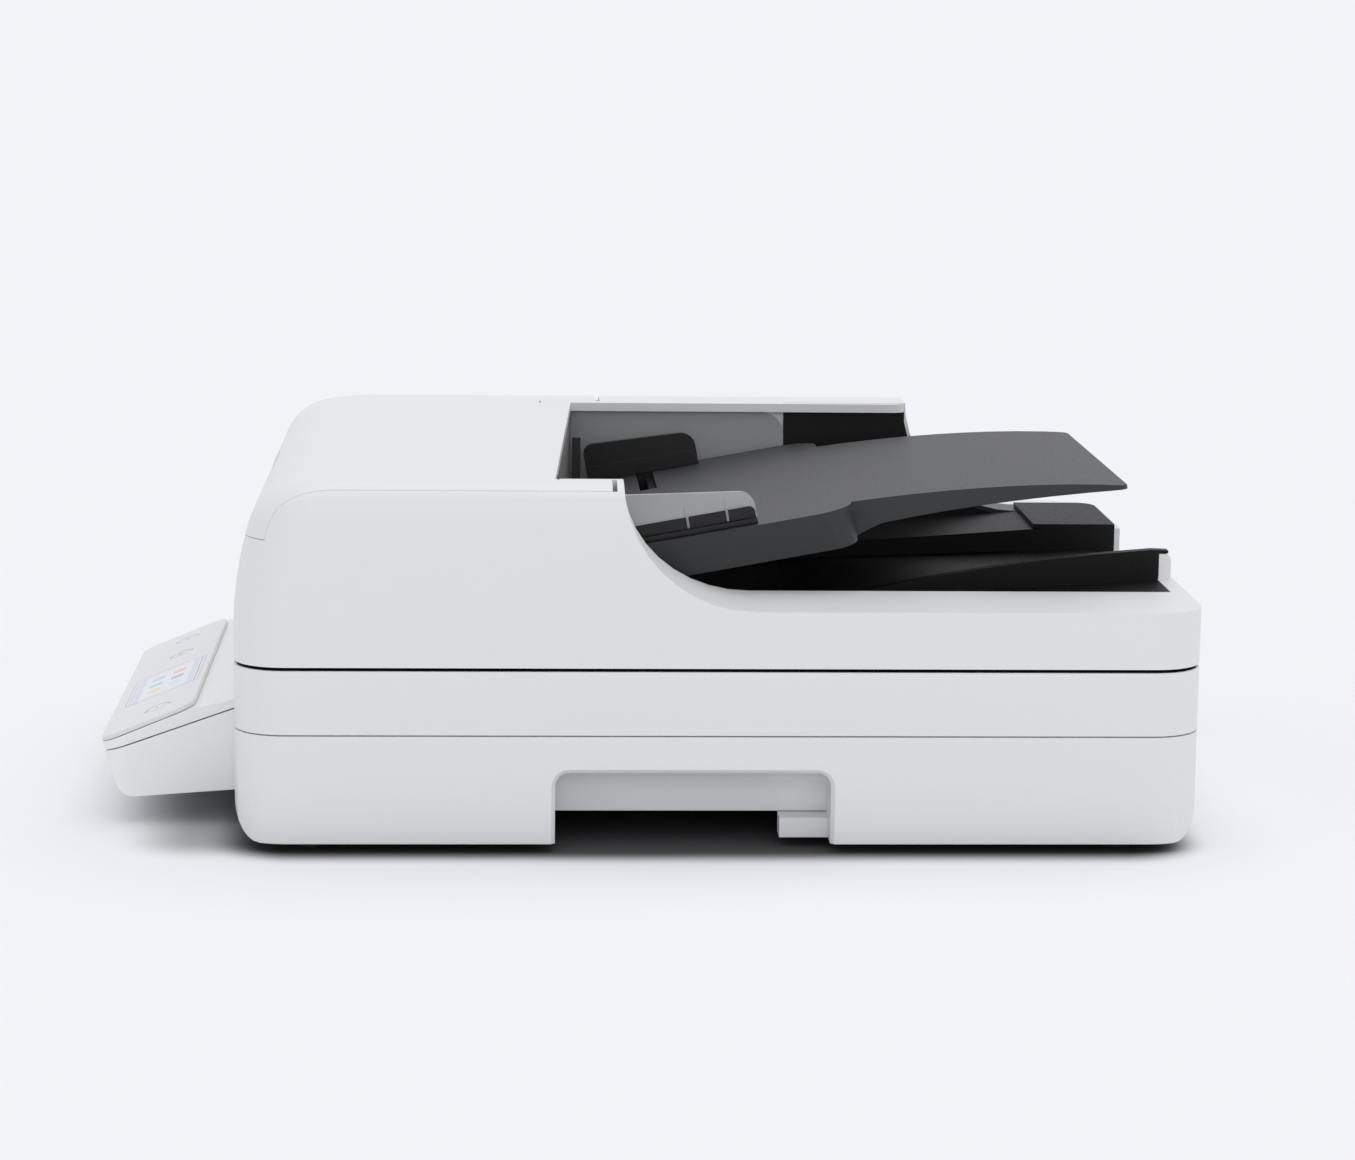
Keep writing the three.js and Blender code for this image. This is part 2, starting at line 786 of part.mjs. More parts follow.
function buildFrame() {
  const outer = prismZ(tubOutline(0), frameLow, deckHeight);
  const room = prismZ(tubOutline(wall), frameLow - over, deckHeight - deckThick);
  const lipOuter = prismZ(tubOutline(wall + gap), tubTop - lipDrop, frameLow + lipDrop);
  const lipRoom = prismZ(tubOutline(wall + gap + lipThick), tubTop - lipDrop - over,
    frameLow + lipDrop + over);
  const hook = prismZ(tubOutline(wall / 2), frameLow, frameLow + lipDrop);
  const lipBand = cut(join(lipOuter, hook), lipRoom);
  let frame = join(cut(outer, room), lipBand);
  const feedHole = prismZ(box2(...feedWindow), glassLow, deckHeight + over);
  const platenHole = prismZ(box2(...platenWindow), glassLow, deckHeight + over);
  frame = cut(frame, feedHole, platenHole);
  for (const side of [1, -1]) {
    const [x0, x1] = [side * hingeX - postWide / 2 - gap, side * hingeX + postWide / 2 + gap];
    const sleeve = block(x0 - sleeveThick, x1 + sleeveThick, postFrontDepth - gap - sleeveThick,
      postBackDepth + gap + sleeveThick, deckHeight - sleeveDeep, deckHeight);
    frame = cut(join(frame, sleeve), block(x0, x1, postFrontDepth - gap, postBackDepth + gap,
      deckHeight - sleeveDeep - over, deckHeight + over));
  }
  piece('base_frame', frame, white());
  piece('platen_glass', windowGlass(platenWindow, glassLap, glassLow, glassTop), clear());
  piece('feeder_glass', windowGlass(feedWindow, feedGlassLap, glassLow, glassTop), clear());
}

// Scan carriage on its rod and rail, pulled by a toothed belt
function buildCarriage() {
  const top = glassLow - carriageTop;
  const low = top - carriageTall;
  const back = carriageFront + carriageLong;
  const mid = carriageFront + carriageLong / 2;
  const half = carriageWide / 2;
  const profile = [[carriageFront, low], [back, low], [back, top - lightDeep], [back - lightDeep, top],
    [carriageFront + lightDeep, top], [carriageFront, top - lightDeep]];
  const slot = block(-half + carriageEnd, half - carriageEnd, mid - opticSlot / 2, mid + opticSlot / 2,
    top - opticDeep, top + over);
  const lightFront = mid + opticSlot;
  const lightSlot = block(-half + carriageEnd, half - carriageEnd, lightFront, lightFront + lightWide,
    top - lightDeep, top + over);
  const bushHalf = rodRadius + bushWall;
  const bushFront = mid - bushLong / 2;
  const bush = block(rodX - bushHalf, rodX + bushHalf, bushFront, bushFront + bushLong, rodHeight - bushHalf,
    low + gap);
  const rodHole = prismY(circle(rodX, rodHeight, rodRadius + gap), 0, bodyLength);
  const railTop = floorTop + railRise;
  const shoe = block(railX - railWide / 2, railX + railWide / 2, bushFront, bushFront + bushLong,
    railTop + gap, low + gap);
  const clipX = beltX - beltRadius - beltThick;
  const clip = block(rodX + bushHalf - gap, clipX + beltThick + clipThick, mid - clipLong / 2,
    mid + clipLong / 2,
    beltLow - gap, low + gap);
  const beltSlot = block(clipX - runGap, clipX + beltThick + runGap, mid - clipLong, mid + clipLong,
    beltLow - over, beltLow + beltHigh + runGap);
  const body = cut(join(prismX(profile, -half, half), bush, shoe, clip), slot, lightSlot, rodHole, beltSlot);
  piece('scan_carriage', body, black());
  piece('light_bar', block(-half + carriageEnd + gap, half - carriageEnd - gap, lightFront + gap,
    lightFront + lightWide - gap, top - lightDeep + gap, top - gap), clear());
}

function pulley(d, bore, base, shaftTop) {
  const tooth = 360 / pulleyTeeth;
  const ring = [];
  for (let i = 0; i < pulleyTeeth; i++) {
    const at = (angle, r) => {
      const turn = THREE.MathUtils.degToRad(angle);
      return [beltX + r * Math.cos(turn), d + r * Math.sin(turn)];
    };
    ring.push(at(i * tooth, pulleyRadius), at((i + 0.5) * tooth, pulleyRadius));
    ring.push(at((i + 0.55) * tooth, pulleyRadius - toothDeep),
      at((i + 0.95) * tooth, pulleyRadius - toothDeep));
  }
  const barrel = prismZ(ring, beltLow, beltLow + beltHigh);
  const low = rodZ(beltX, d, pulleyFlange, beltLow - flangeThick, beltLow, 20);
  const high = rodZ(beltX, d, pulleyFlange, beltLow + beltHigh, beltLow + beltHigh + flangeThick, 20);
  const whole = join(barrel, low, high);
  const hole = rodZ(beltX, d, bore + gap, beltLow - over, beltLow + beltHigh + over, 12);
  return base > 0 ? join(whole, rodZ(beltX, d, base, beltLow, shaftTop, 12)) : cut(whole, hole);
}

function buildDrive() {
  piece('guide_rod', prismY(circle(rodX, rodHeight, rodRadius), wall + bossRadius + gap,
    bodyLength - wall - bossRadius - gap), steel());
  const flangeTop = motorLow + motorFlangeThick;
  const half = motorFlange / 2;
  const plate = prismZ(rounded(beltX - half, pulleyFront - motorRadius, beltX + half,
    pulleyFront + motorRadius,
    motorPostRadius, 4), motorLow, flangeTop);
  const can = turnedZ([[0, motorLow], [motorRadius - footRound, motorLow],
    [motorRadius - footRound, flangeTop + motorTall],
    [motorRadius - 2 * footRound, flangeTop + motorTall + footRound], [0, flangeTop + motorTall + footRound]],
  beltX, pulleyFront, 20);
  const shaftHole = rodZ(beltX, pulleyFront, pinRadius + gap, motorLow - over, flangeTop + motorTall / 2, 12);
  piece('scan_motor', cut(join(plate, can), shaftHole), steel());
  piece('drive_pulley', pulley(pulleyFront, 0, pinRadius, flangeTop + motorTall / 2 - gap), steel());
  piece('idler_pulley', pulley(idlerDepth, pinRadius, 0, 0), acetal());
  const loop = (r) => [...arc(beltX, idlerDepth, r, r, 0, 180, fineSteps),
    ...arc(beltX, pulleyFront, r, r, 180, 360, fineSteps)];
  piece('scan_belt', cut(prismZ(loop(beltRadius + beltThick), beltLow + gap, beltLow + beltHigh - gap),
    prismZ(loop(beltRadius), beltLow - over, beltLow + beltHigh + over)), rubber());
}

// Circuit board with its connectors, and the socket panel in the rear wall
function buildElectronics() {
  const low = floorTop + boardRise + gap;
  const top = low + boardThick;
  const board = block(boardLeft, boardLeft + boardWidth, boardBack - boardLength, boardBack, low, top);
  const middle = boardLeft + boardWidth / 2;
  const centre = boardBack - boardLength / 2;
  const chip = block(middle - chipSize / 2, middle + chipSize / 2, centre - chipSize / 2,
    centre + chipSize / 2,
    top - gap, top + chipThick);
  const connector = block(middle - connectorWide / 2, middle + connectorWide / 2,
    boardBack - boardLength + gap,
    boardBack - boardLength + connectorDeep, top - gap, top + connectorHigh);
  piece('main_board', join(board, chip, connector), paint(0x1f5a3a, 0.6));
  const z0 = floorTop + portRise;
  const z1 = z0 + portHeight;
  const zMid = (z0 + z1) / 2;
  const rear = bodyLength - recessBevel;
  const inner = bodyLength - wall - gap;
  const centres = { dc_jack: portLeft + portWidth / 6, usb_socket: portLeft + portWidth / 2,
    lan_socket: portLeft + portWidth * 5 / 6 };
  const flange = block(portLeft - portFlange, portLeft + portWidth + portFlange, inner - portPlateThick,
    inner,
    z0 - portFlange, z1 + portFlange);
  const raised = block(portLeft + gap, portLeft + portWidth - gap, inner - gap, rear, z0 + gap, z1 - gap);
  const hole = (x, wide, high) =>
    block(x - wide / 2 - gap, x + wide / 2 + gap, inner - socketDeep, rear + over,
    zMid - high / 2 - gap, zMid + high / 2 + gap);
  const jackHole = prismY(circle(centres.dc_jack, zMid, jackRadius + gap), inner - socketDeep, rear + over);
  piece('port_panel', cut(join(flange, raised), hole(centres.usb_socket, usbWide, usbHigh),
    hole(centres.lan_socket, lanWide, lanHigh), jackHole), darkGrey());
  const socket = (x, wide, high, floor) => cut(
    block(x - wide / 2, x + wide / 2, rear - socketDeep, rear, zMid - high / 2, zMid + high / 2),
    block(x - wide / 2 + socketWall, x + wide / 2 - socketWall, rear - socketDeep + floor, rear + over,
      zMid - high / 2 + socketWall, zMid + high / 2 - socketWall));
  piece('usb_socket', socket(centres.usb_socket, usbWide, usbHigh, socketWall), steel());
  piece('lan_socket', socket(centres.lan_socket, lanWide, lanHigh, socketWall), steel());
  const jack = cut(prismY(circle(centres.dc_jack, zMid, jackRadius), rear - socketDeep, rear),
    prismY(circle(centres.dc_jack, zMid, jackRadius - socketWall), rear - socketDeep + socketWall,
    rear + over));
  const pin = prismY(circle(centres.dc_jack, zMid, jackPinRadius, 8), rear - socketDeep + socketWall / 2,
    rear - socketWall);
  piece('dc_jack', join(jack, pin), black());
}

// Control panel in front of the casing: housing, cover, face plate, display and keys
function panelOutline(inset) {
  return rounded(-panelWide / 2 + inset, -panelReach, panelWide / 2 - inset, over,
    [panelCorner, panelCorner, 0, 0]);
}

const seamAt = (d) => seamRise + seamSlope * (d + seamReach);

function buildPanel() {
  const half = panelWide / 2;
  const foot = [-seamReach + housingLean, housingFoot];
  const housingOutline = (t) => [
    [-seamReach + t, seamAt(-seamReach) + (t > 0 ? over : 0)],
    [foot[0] + t, seamRise - housingDrop],
    ...arc(foot[0] + housingRound, foot[1] + housingRound, housingRound - t, housingRound - t, 200, 265),
    [-gap - t, housingRear + t], [-gap - t, seamAt(-gap) + (t > 0 ? over : 0)]];
  const outer = common(prismX(housingOutline(0), -half, half), prismZ(panelOutline(0), 0, deckHeight));
  const inner = common(prismX(housingOutline(wall), -half + wall, half - wall),
    prismZ(shift(panelOutline(wall), 0, wall), 0, deckHeight));
  const neck = cut(block(-neckWide / 2, neckWide / 2, -gap - wall, neckLong, neckLow, neckHigh),
    block(-neckWide / 2 + wall, neckWide / 2 - wall, -over, neckLong + over, neckLow + wall,
    neckHigh - wall));
  piece('panel_housing', join(cut(outer, inner), neck), white());

  const tilt = THREE.MathUtils.degToRad(faceTilt);
  const [cosT, sinT] = [Math.cos(tilt), Math.sin(tilt)];
  const at = (v, w) => [-panelReach + v * cosT - w * sinT, faceFootRise + v * sinT + w * cosT];
  const under = -faceThick - faceProud;
  const nose = [-seamReach - noseReach, seamRise + noseRise];
  const capOutline = [[-seamReach, seamAt(-seamReach) + seamGap], [-gap, seamAt(-gap) + seamGap],
    [-gap, coverEnd],
    at(faceLong, under), at(0, under), nose];
  const cap = common(prismX(capOutline, -half, half), prismZ(panelOutline(0), 0, deckHeight));
  const capRoom = [[-seamReach + wall, seamAt(-seamReach + wall) - over], [-gap - wall, seamAt(-gap) - over],
    [-gap - wall, coverEnd - wall], at(faceLong, under - wall), at(wall, under - wall)];
  const capInner = common(prismX(capRoom, -half + wall, half - wall),
    prismZ(shift(panelOutline(wall), 0, wall), 0, deckHeight));
  face.position.set(0, ...at(0, 0));
  face.rotation.x = tilt;
  face.updateMatrix();
  const tilted = (solid) => {
    const geometry = toGeometry(solid);
    geometry.applyMatrix4(face.matrix);
    return toSolid(geometry);
  };
  const keyPlaces = { key_right: keyRightX, key_left: keyLeftX, key_start: keyStartX };
  const midV = faceLong / 2 + keyUp;
  const keyHoles = Object.values(keyPlaces).map((x) =>
    rodZ(x, midV, keyRadius + runGap, -keyTall - over, over, 24));
  piece('panel_cover', cut(cap, capInner, ...keyHoles.map(tilted)), white());

  const plate = prismZ(rounded(-faceWide / 2, 0, faceWide / 2, faceLong, faceCorner), -faceThick, 0);
  const displayV = faceLong / 2 + displayUp;
  const pocket = prismZ(rounded(displayX - displayWide / 2, displayV - displayLong / 2,
    displayX + displayWide / 2,
    displayV + displayLong / 2, displayBezel, 3), -displayThick - gap, over);
  piece('panel_face', cut(plate, pocket, ...keyHoles), paleGrey(), face);
  piece('touch_display', prismZ(rounded(displayX - displayWide / 2 + gap, displayV - displayLong / 2 + gap,
    displayX + displayWide / 2 - gap, displayV + displayLong / 2 - gap, displayBezel, 3), -displayThick, 0),
  paint(0xd9dee2, 0.15), face);
  for (const [name, x] of Object.entries(keyPlaces)) {
    const key = turnedZ([[0, -keyTall], [keyRadius, -keyTall], [keyRadius, -faceProud],
      [keyRadius - faceProud, 0], [0, 0]],
      x, midV, 24);
    piece(name, key, name === 'key_start' ? paint(0xc7d6f2, 0.4) : paleGrey(), face);
  }
}

// Outer form of the lid's hump, as rings that lean back, arch over at the front and round off at the sides
function hump(inset, low) {
  const ring = (h, front, side) => rounded(-halfWidth + side, front, halfWidth - side, bodyLength - inset,
    bodyCorner - inset).map(([x, d]) => [x, d, h]);
  const rings = [ring(low, inset, inset), ring(leanStart, inset, inset)];
  const lean = THREE.MathUtils.degToRad(leanAngle);
  const leanTop = archCentre + archRadius * Math.sin(lean);
  for (let i = 1; i < leanSteps; i++) {
    const share = i / leanSteps;
    rings.push(ring(leanStart + (leanTop - leanStart) * share, inset + leanDepth * share ** 2, inset));
  }
  const edgeCentre = humpRise - edgeRadius;
  for (let i = 0; i <= fineSteps; i++) {
    const angle = lean + (Math.PI / 2 - lean) * i / fineSteps;
    const h = archCentre + (archRadius - inset) * Math.sin(angle);
    const front = archDepth - (archRadius - inset) * Math.cos(angle);
    const rise = Math.min(Math.max(h - edgeCentre, 0), edgeRadius - inset);
    const side = edgeRadius - Math.sqrt((edgeRadius - inset) ** 2 - rise ** 2);
    rings.push(ring(h, front, side));
  }
  return loft(rings);
}

// Room behind the scooped end of a side wall: above the rim, from the scoop to the rear
function scoopRoom(inset, end) {
  const r = scoopRadius + inset;
  const points = [...arc(end, rimRise + scoopRadius, r, r, 180, 270, fineSteps),
    [bodyLength + over, rimRise - inset], [bodyLength + over, humpRise + over], [end - r, humpRise + over]];
  return points;
}

// Section across the open channel between the side walls; its right wall leans outwards
function channelSection(inset, top) {
  return [[channelLeft - inset, -over], [channelRight + inset, -over], [channelRight + inset, rimRise],
    [channelRight + wallLean + inset, shoulderRise], [channelRight + wallLean + inset, top],
    [channelLeft - inset, top]];
}

const span = (side, near, far) => (side > 0 ? [near, far] : [-far, -near]);
const coverRoots = [[1, mouthRight + wall], [-1, wall - channelLeft]];
const coverPinDepth = coverBack - coverPinSetback;
const coverPinRise = humpRise - coverPinDrop;

function coverRegion(grow, back) {
  const low = coverLow - grow;
  const points = [[-over, low], [archDepth, low], [archDepth, shoulderRise - grow],
    [back, shoulderRise - grow], [back, humpRise + over], [-over, humpRise + over]];
  return prismX(points, -coverHalf - grow, coverHalf + grow);
}

function mouthCut() {
  const points = [[mouthRight, mouthFrontRight], [mouthRight, bodyLength + over],
    [armInner, bodyLength + over],
    [armInner, mouthFrontLeft]];
  return prismZ(points, shoulderRise, humpRise + over);
}

// Narrow strips of the shell that stay beside the mouth, where the cover's rear
// corners swing down next to them
function mouthStrips(grow, swing) {
  const strip = (x0, x1, front) =>
    block(x0, x1, front - grow, bodyLength, shoulderRise - over, humpRise + over);
  return join(strip(mouthRight - over, mouthRight + wall + grow, channelFront + gap - swing),
    strip(channelLeft - wall - grow, armInner + grow, stripFront - swing));
}

function hingePocket(side) {
  return block(side * hingeX - pocketHalf, side * hingeX + pocketHalf, bodyLength - pocketDeep,
    bodyLength + over,
    -over, pocketRise);
}

function buildLidShell() {
  const reach = halfWidth + over;
  const skin = hump(0, 0);
  const outer = cut(skin,
    prismX(scoopRoom(0, scoopEnd), armInner, reach),
    prismX(scoopRoom(0, armEnd), -reach, armInner),
    prismY(channelSection(0, humpRise - armLipThick), channelFront, channelBack),
    mouthCut());
  const notch = (grow) => block(notchLeft - grow, notchRight + grow, channelBack - wall - over,
    bodyLength + over,
    notchFloor - grow, humpRise);
  const room = cut(hump(wall, -over),
    prismX(scoopRoom(wall, scoopEnd), channelLeft - wall, reach),
    prismX(scoopRoom(wall, armEnd), -reach, channelLeft - wall),
    prismY(channelSection(wall, humpRise + over), channelFront, channelBack + wall),
    mouthStrips(0, 0), notch(wall));
  const plateRoom = prismZ(tubOutline(wall), -over, plateRise + plateThick + gap);
  const beltRoom = block(chassisHalf, chassisHalf + gearBack + exitBeltWide + over / 2, channelFront - over,
    exitDepth + exitPulleyRadius + over, -over, exitRise + exitPulleyRadius + over);
  const coverLayer = cut(coverRegion(gap, coverBack + coverRelief), hump(coverSkin + gap, -over),
    mouthStrips(0, 0));
  let shell = cut(outer, room, plateRoom, beltRoom, coverLayer, notch(0), hingePocket(1), hingePocket(-1));
  const tip = armEnd - scoopRadius;
  const tipCorner = cut(
    block(armInner - armTipRadius, armInner + over, tip - armTipRadius, tip + over, rimRise, humpRise + over),
    rodZ(armInner - armTipRadius, tip - armTipRadius, armTipRadius, rimRise - over, humpRise + 2 * over, 24));
  shell = cut(shell, tipCorner);
  const ribFront = channelBack + gap;
  const ribBack = bodyLength - recessBevel;
  const rib = prismX([[ribFront, rimRise - wall], [ribBack, rimRise - wall],
    ...arc(ribBack - ribRound, ribTop - ribRound, ribRound, ribRound, 0, 90, 4), [ribFront, ribTop]],
  notchRight, notchRight + ribWidth);
  shell = join(shell, rib);
  for (const [side, root] of coverRoots) {
    const boss = rodX_(coverPinDepth, coverPinRise, coverEar,
      ...span(side, root - gap, root + coverBossLong));
    const bore = rodX_(coverPinDepth, coverPinRise, coverPinRadius + boreGap,
      ...span(side, root + coverBossLong - coverPegReach - gap, root + coverBossLong + over), 12);
    shell = cut(join(shell, boss), bore);
  }
  const ledgeLow = coverLow - latchHookDrop + latchBarbTall + runGap;
  const ledge = common(block(-latchHookHalf, latchHookHalf, 0, latchShank - latchBarb - latchPass, ledgeLow,
    ledgeLow + latchLedge), skin);
  shell = join(shell, ledge);
  const pinHole = (x0, x1) => rodX_(trayPivotDepth, trayPivotRise, trayPinRadius + boreGap, x0, x1, 14);
  shell = cut(shell, pinHole(trayHalf, halfWidth - mouthStrip),
    pinHole(channelLeft - wall - over, -trayHalf));
  piece('lid_shell', shell, white(), lid);
}

// Feeder cover: the top and front of the hump, with an opening for the latch and an ear at each rear corner
function buildCover() {
  let cover = cut(common(cut(hump(0, 0), hump(coverSkin, -over)), coverRegion(0, coverBack)), mouthCut(),
    mouthStrips(gap, stripSwing));
  for (const [side, root] of coverRoots) {
    const near = root + coverBossLong + runGap;
    const [x0, x1] = span(side, near, near + earThick);
    const ear = common(join(rodX_(coverPinDepth, coverPinRise, coverEar, x0, x1),
      block(x0, x1, coverPinDepth - coverEar, coverPinDepth + coverEar, coverPinRise,
      humpRise - coverSkin / 2)),
    hump(coverSkin / 2, 0));
    const peg = rodX_(coverPinDepth, coverPinRise, coverPinRadius,
      ...span(side, root + coverBossLong - coverPegReach, near + earThick), 12);
    cover = join(cover, ear, peg);
  }
  const latchTop = coverLow + latchTall;
  cover = cut(cover, block(-latchHalf - runGap, latchHalf + runGap, -over, latchRodDepth, coverLow - over,
    latchTop + runGap));
  const rodRise = latchTop - latchRodDrop;
  for (const side of [1, -1]) {
    const [x0, x1] = side > 0 ? [latchHalf + runGap, latchHalf + over + runGap]
      : [-latchHalf - over - runGap, -latchHalf - runGap];
    const lug = common(rodX_(latchRodDepth, rodRise, latchLug, x0, x1), hump(coverSkin / 2, 0));
    cover = cut(join(cover, lug),
      rodX_(latchRodDepth, rodRise, latchStubRadius + boreGap, x0 - over, x1 + over, 12));
  }
  piece('feeder_cover', cover, white(), lid);
  const band = block(-latchHalf, latchHalf, -over, latchRodDepth, coverLow + latchLift, latchTop);
  const plate = common(cut(hump(latchSunk, 0), hump(latchSunk + coverSkin, -over)), band);
  const rod = rodX_(latchRodDepth, rodRise, latchRodRadius, -latchHalf, latchHalf, 14);
  const bridge = block(-latchHalf, latchHalf, latchRodDepth - latchRodRadius - wall, latchRodDepth,
    rodRise - latchRodRadius / 2, rodRise + latchRodRadius / 2);
  const behind = common(bridge, hump(latchSunk + coverSkin / 2, 0));
  const stubs = rodX_(latchRodDepth, rodRise, latchStubRadius, -latchHalf - latchStub, latchHalf + latchStub,
    12);
  const hookLow = coverLow - latchHookDrop;
  const shank = block(-latchHookHalf, latchHookHalf, latchShank, latchShank + latchHookThick, hookLow,
    latchShankTop);
  const barb = prismX([[latchShank + gap, hookLow], [latchShank + gap, hookLow + latchBarbTall],
    [latchShank - latchBarb, hookLow + latchBarbTall], [latchShank - latchBarb, hookLow + latchBarb]],
  -latchHookHalf, latchHookHalf);
  piece('cover_latch', join(plate, rod, behind, stubs, shank, barb), paleGrey(), lid);
}

// Underside plate with hinge lugs, and the white document pad that presses on the glass
function buildUnderside() {
  const outline = rounded(-halfWidth + wall + gap, wall + gap, halfWidth - wall - gap,
    bodyLength - wall - gap,
    bodyCorner - wall - gap);
  let plate = prismZ(outline, plateRise, plateRise + plateThick);
  const [x0, d0, x1, d1] = feedWindow;
  plate = cut(plate, block(x0, x1, d0 - gap, d1 + gap, -over, over + plateThick));
  for (const side of [1, -1]) {
    const at = side * hingeX;
    const well = block(at - knuckleHalf - runGap - lugThick / 2, at + knuckleHalf + runGap + lugThick / 2,
      postFrontDepth - 2 * runGap - wall, bodyLength, -over, over + plateThick);
    plate = cut(plate, well);
    for (const hand of [1, -1]) {
      const near = knuckleHalf + runGap;
      const [a, b] = hand > 0 ? [at + near, at + near + lugThick] : [at - near - lugThick, at - near];
      const ear = prismX([...arc(hingeDepth, hingeRise, knuckleRadius, knuckleRadius, 0, 180, steps),
        [hingeDepth - 2 * knuckleRadius, plateRise], [hingeDepth + hingeSetback - wall - gap, plateRise]],
        a, b);
      const bore = rodX_(hingeDepth, hingeRise, hingePinRadius + boreGap, a - over, b + over, 14);
      plate = cut(join(plate, ear), bore);
    }
  }
  piece('lid_underside', plate, white(), lid);
  const [px0, pd0, px1, pd1] = platenWindow;
  const padLow = glassTop + padTouch - lidBase;
  piece('document_pad', prismZ(rounded(px0 + padInset, pd0 + padInset, px1 - padInset, pd1 - padInset,
    padInset, 4),
    padLow, plateRise - gap), paint(0xf2f2f0, 0.8), lid);
}

// Hinges: posts that slide in the frame's sleeves and carry the lid's pins in their knuckles
function buildHinges() {
  for (const [name, side] of [['right', 1], ['left', -1]]) {
    const at = side * hingeX;
    const low = deckHeight - postDeep;
    const clearDeck = deckHeight + gap;
    const pinRise = lidBase + hingeRise;
    const post = block(at - postWide / 2, at + postWide / 2, postFrontDepth, postBackDepth, low,
      clearDeck + gap);
    const arm = prismX([[postFrontDepth, clearDeck], [hingeDepth + knuckleRadius - wall, clearDeck],
      [hingeDepth + knuckleRadius, pinRise - knuckleRadius / 2], [hingeDepth, pinRise],
      [hingeDepth - knuckleRadius, pinRise], [postFrontDepth, clearDeck + postThick / 2]], at - knuckleHalf,
      at + knuckleHalf);
    const knuckle = rodX_(hingeDepth, pinRise, knuckleRadius, at - knuckleHalf, at + knuckleHalf, 20);
    const bore = rodX_(hingeDepth, pinRise, hingePinRadius + boreGap, at - postWide, at + postWide, 14);
    piece(`hinge_${name}`, cut(join(post, arm, knuckle), bore), darkGrey());
    const reach = knuckleHalf + runGap + lugThick - gap;
    piece(`hinge_pin_${name}`, rodX_(hingeDepth, hingeRise, hingePinRadius, at - reach, at + reach, 14),
      steel(), lid);
  }
}

// Centres of the shafts in the sheet path, as [depth, height]
const slope = THREE.MathUtils.degToRad(traySlope);
const turnAt = [turnDepth, turnRise];
const gearReach = (a, b) => gearModule * (a + b) / 2;
const polar = ([d, h], r, degrees) => [d + r * Math.cos(THREE.MathUtils.degToRad(degrees)),
  h + r * Math.sin(THREE.MathUtils.degToRad(degrees))];
const feedAt = polar(turnAt, gearReach(turnTeeth, feedTeeth), feedAngle);
const motorAt = polar(turnAt, gearReach(turnTeeth, pinionTeeth), motorAngle);
const hopperAt = (d) => trayPivotRise + trayTop / Math.cos(slope) + (d - trayPivotDepth) * Math.tan(slope);
const separationAt = [feedAt[0] + (feedRadius + separationRadius + nipGap) * Math.sin(slope),
  feedAt[1] - (feedRadius + separationRadius + nipGap) * Math.cos(slope)];
const pickAt = [pickDepth, hopperAt(pickDepth) + (pickRadius + nipGap) / Math.cos(slope)];
const exitAt = [exitDepth, exitRise];
const pinchAt = [exitDepth, exitRise - exitRadius - nipGap - pinchRadius];

// Feeder chassis: side plates, the guide round the turn roller, the hopper floor and the exit ramp
function buildChassis() {
  const half = chassisHalf;
  const plateOutline = [[turnDepth - turnRadius - turnGap, chassisRise], [chassisBack, chassisRise],
    [chassisBack, rampHigh],
    [postBack, trayPivotRise - trayUnder], [postBack, postTop], [postFront, postTop],
    [postFront, hopperAt(postFront)],
    [pickDepth, hopperAt(pickDepth)], [feedAt[0] + 2 * shaftRadius, feedAt[1] + 2 * shaftRadius],
    [feedAt[0] - 2 * shaftRadius, feedAt[1] + 2 * shaftRadius],
    [turnDepth, turnRise + turnRadius + turnGap + guideThick],
    [turnDepth - turnRadius - turnGap - guideThick, turnRise + turnRadius / 2]];
  const plates = join(prismX(plateOutline, half - sideThick, half),
    prismX(plateOutline, -half, -half + sideThick));
  const inner = turnRadius + turnGap;
  const wrap = [...arc(turnDepth, turnRise, inner + guideThick, inner + guideThick, 70, 245, fineSteps),
    ...arc(turnDepth, turnRise, inner, inner, 245, 70, fineSteps)];
  const hopper = [[hopperFront, hopperAt(hopperFront)], [hopperFront, hopperAt(hopperFront) - guideThick],
    [hopperBack, hopperAt(hopperBack) - guideThick], [hopperBack, hopperAt(hopperBack)]];
  const ramp = [[rampFront, rampLow], [rampFront, rampLow - guideThick], [chassisBack, rampHigh - guideThick],
    [chassisBack, rampHigh]];
  let chassis = join(plates, prismX(wrap, -half, half), prismX(hopper, -half, half),
    prismX(ramp, -half, half));
  const well = (x, [d, h], wide, r) => block(x - wide, x + wide, d - r, d + r, h - r, h + r);
  chassis = cut(chassis, well(0, separationAt, separationHalf + runGap, separationRadius + runGap + gap));
  for (const x of [-sleevePitch, 0, sleevePitch]) {
    chassis = cut(chassis, well(x, pinchAt, sleeveHalf + runGap, pinchRadius + runGap));
  }
  const tabs = [-1, 1].map((hand) =>
    block(hand > 0 ? separationHalf + 2 * runGap : -separationHalf - 2 * runGap - sideThick,
    hand > 0 ? separationHalf + 2 * runGap + sideThick : -separationHalf - 2 * runGap,
    separationAt[0] - shaftRadius, separationAt[0] + shaftRadius, separationAt[1] - shaftRadius,
    hopperAt(separationAt[0]) - guideThick / 2));
  chassis = join(chassis, ...tabs);
  const pinchTabs = [-1, 1].flatMap((hand) => {
    const x = hand * (half - sideThick - over);
    return [block(x - sideThick / 2, x + sideThick / 2, exitDepth - pinchRadius, exitDepth + pinchRadius,
      chassisRise,
      pinchAt[1] + pinchShaft + wall)];
  });
  chassis = join(chassis, ...pinchTabs);
  const bore = ([d, h], r, reach) => rodX_(d, h, r + boreGap, -reach, reach, 14);
  const reach = half + over;
  chassis = cut(chassis, bore(turnAt, shaftRadius, reach), bore(feedAt, shaftRadius, reach),
    bore(exitAt, shaftRadius, reach),
    bore(separationAt, pinchShaft, 2 * separationHalf), bore(pinchAt, pinchShaft, half - sideThick));
  piece('feeder_chassis', chassis, black(), lid);
}

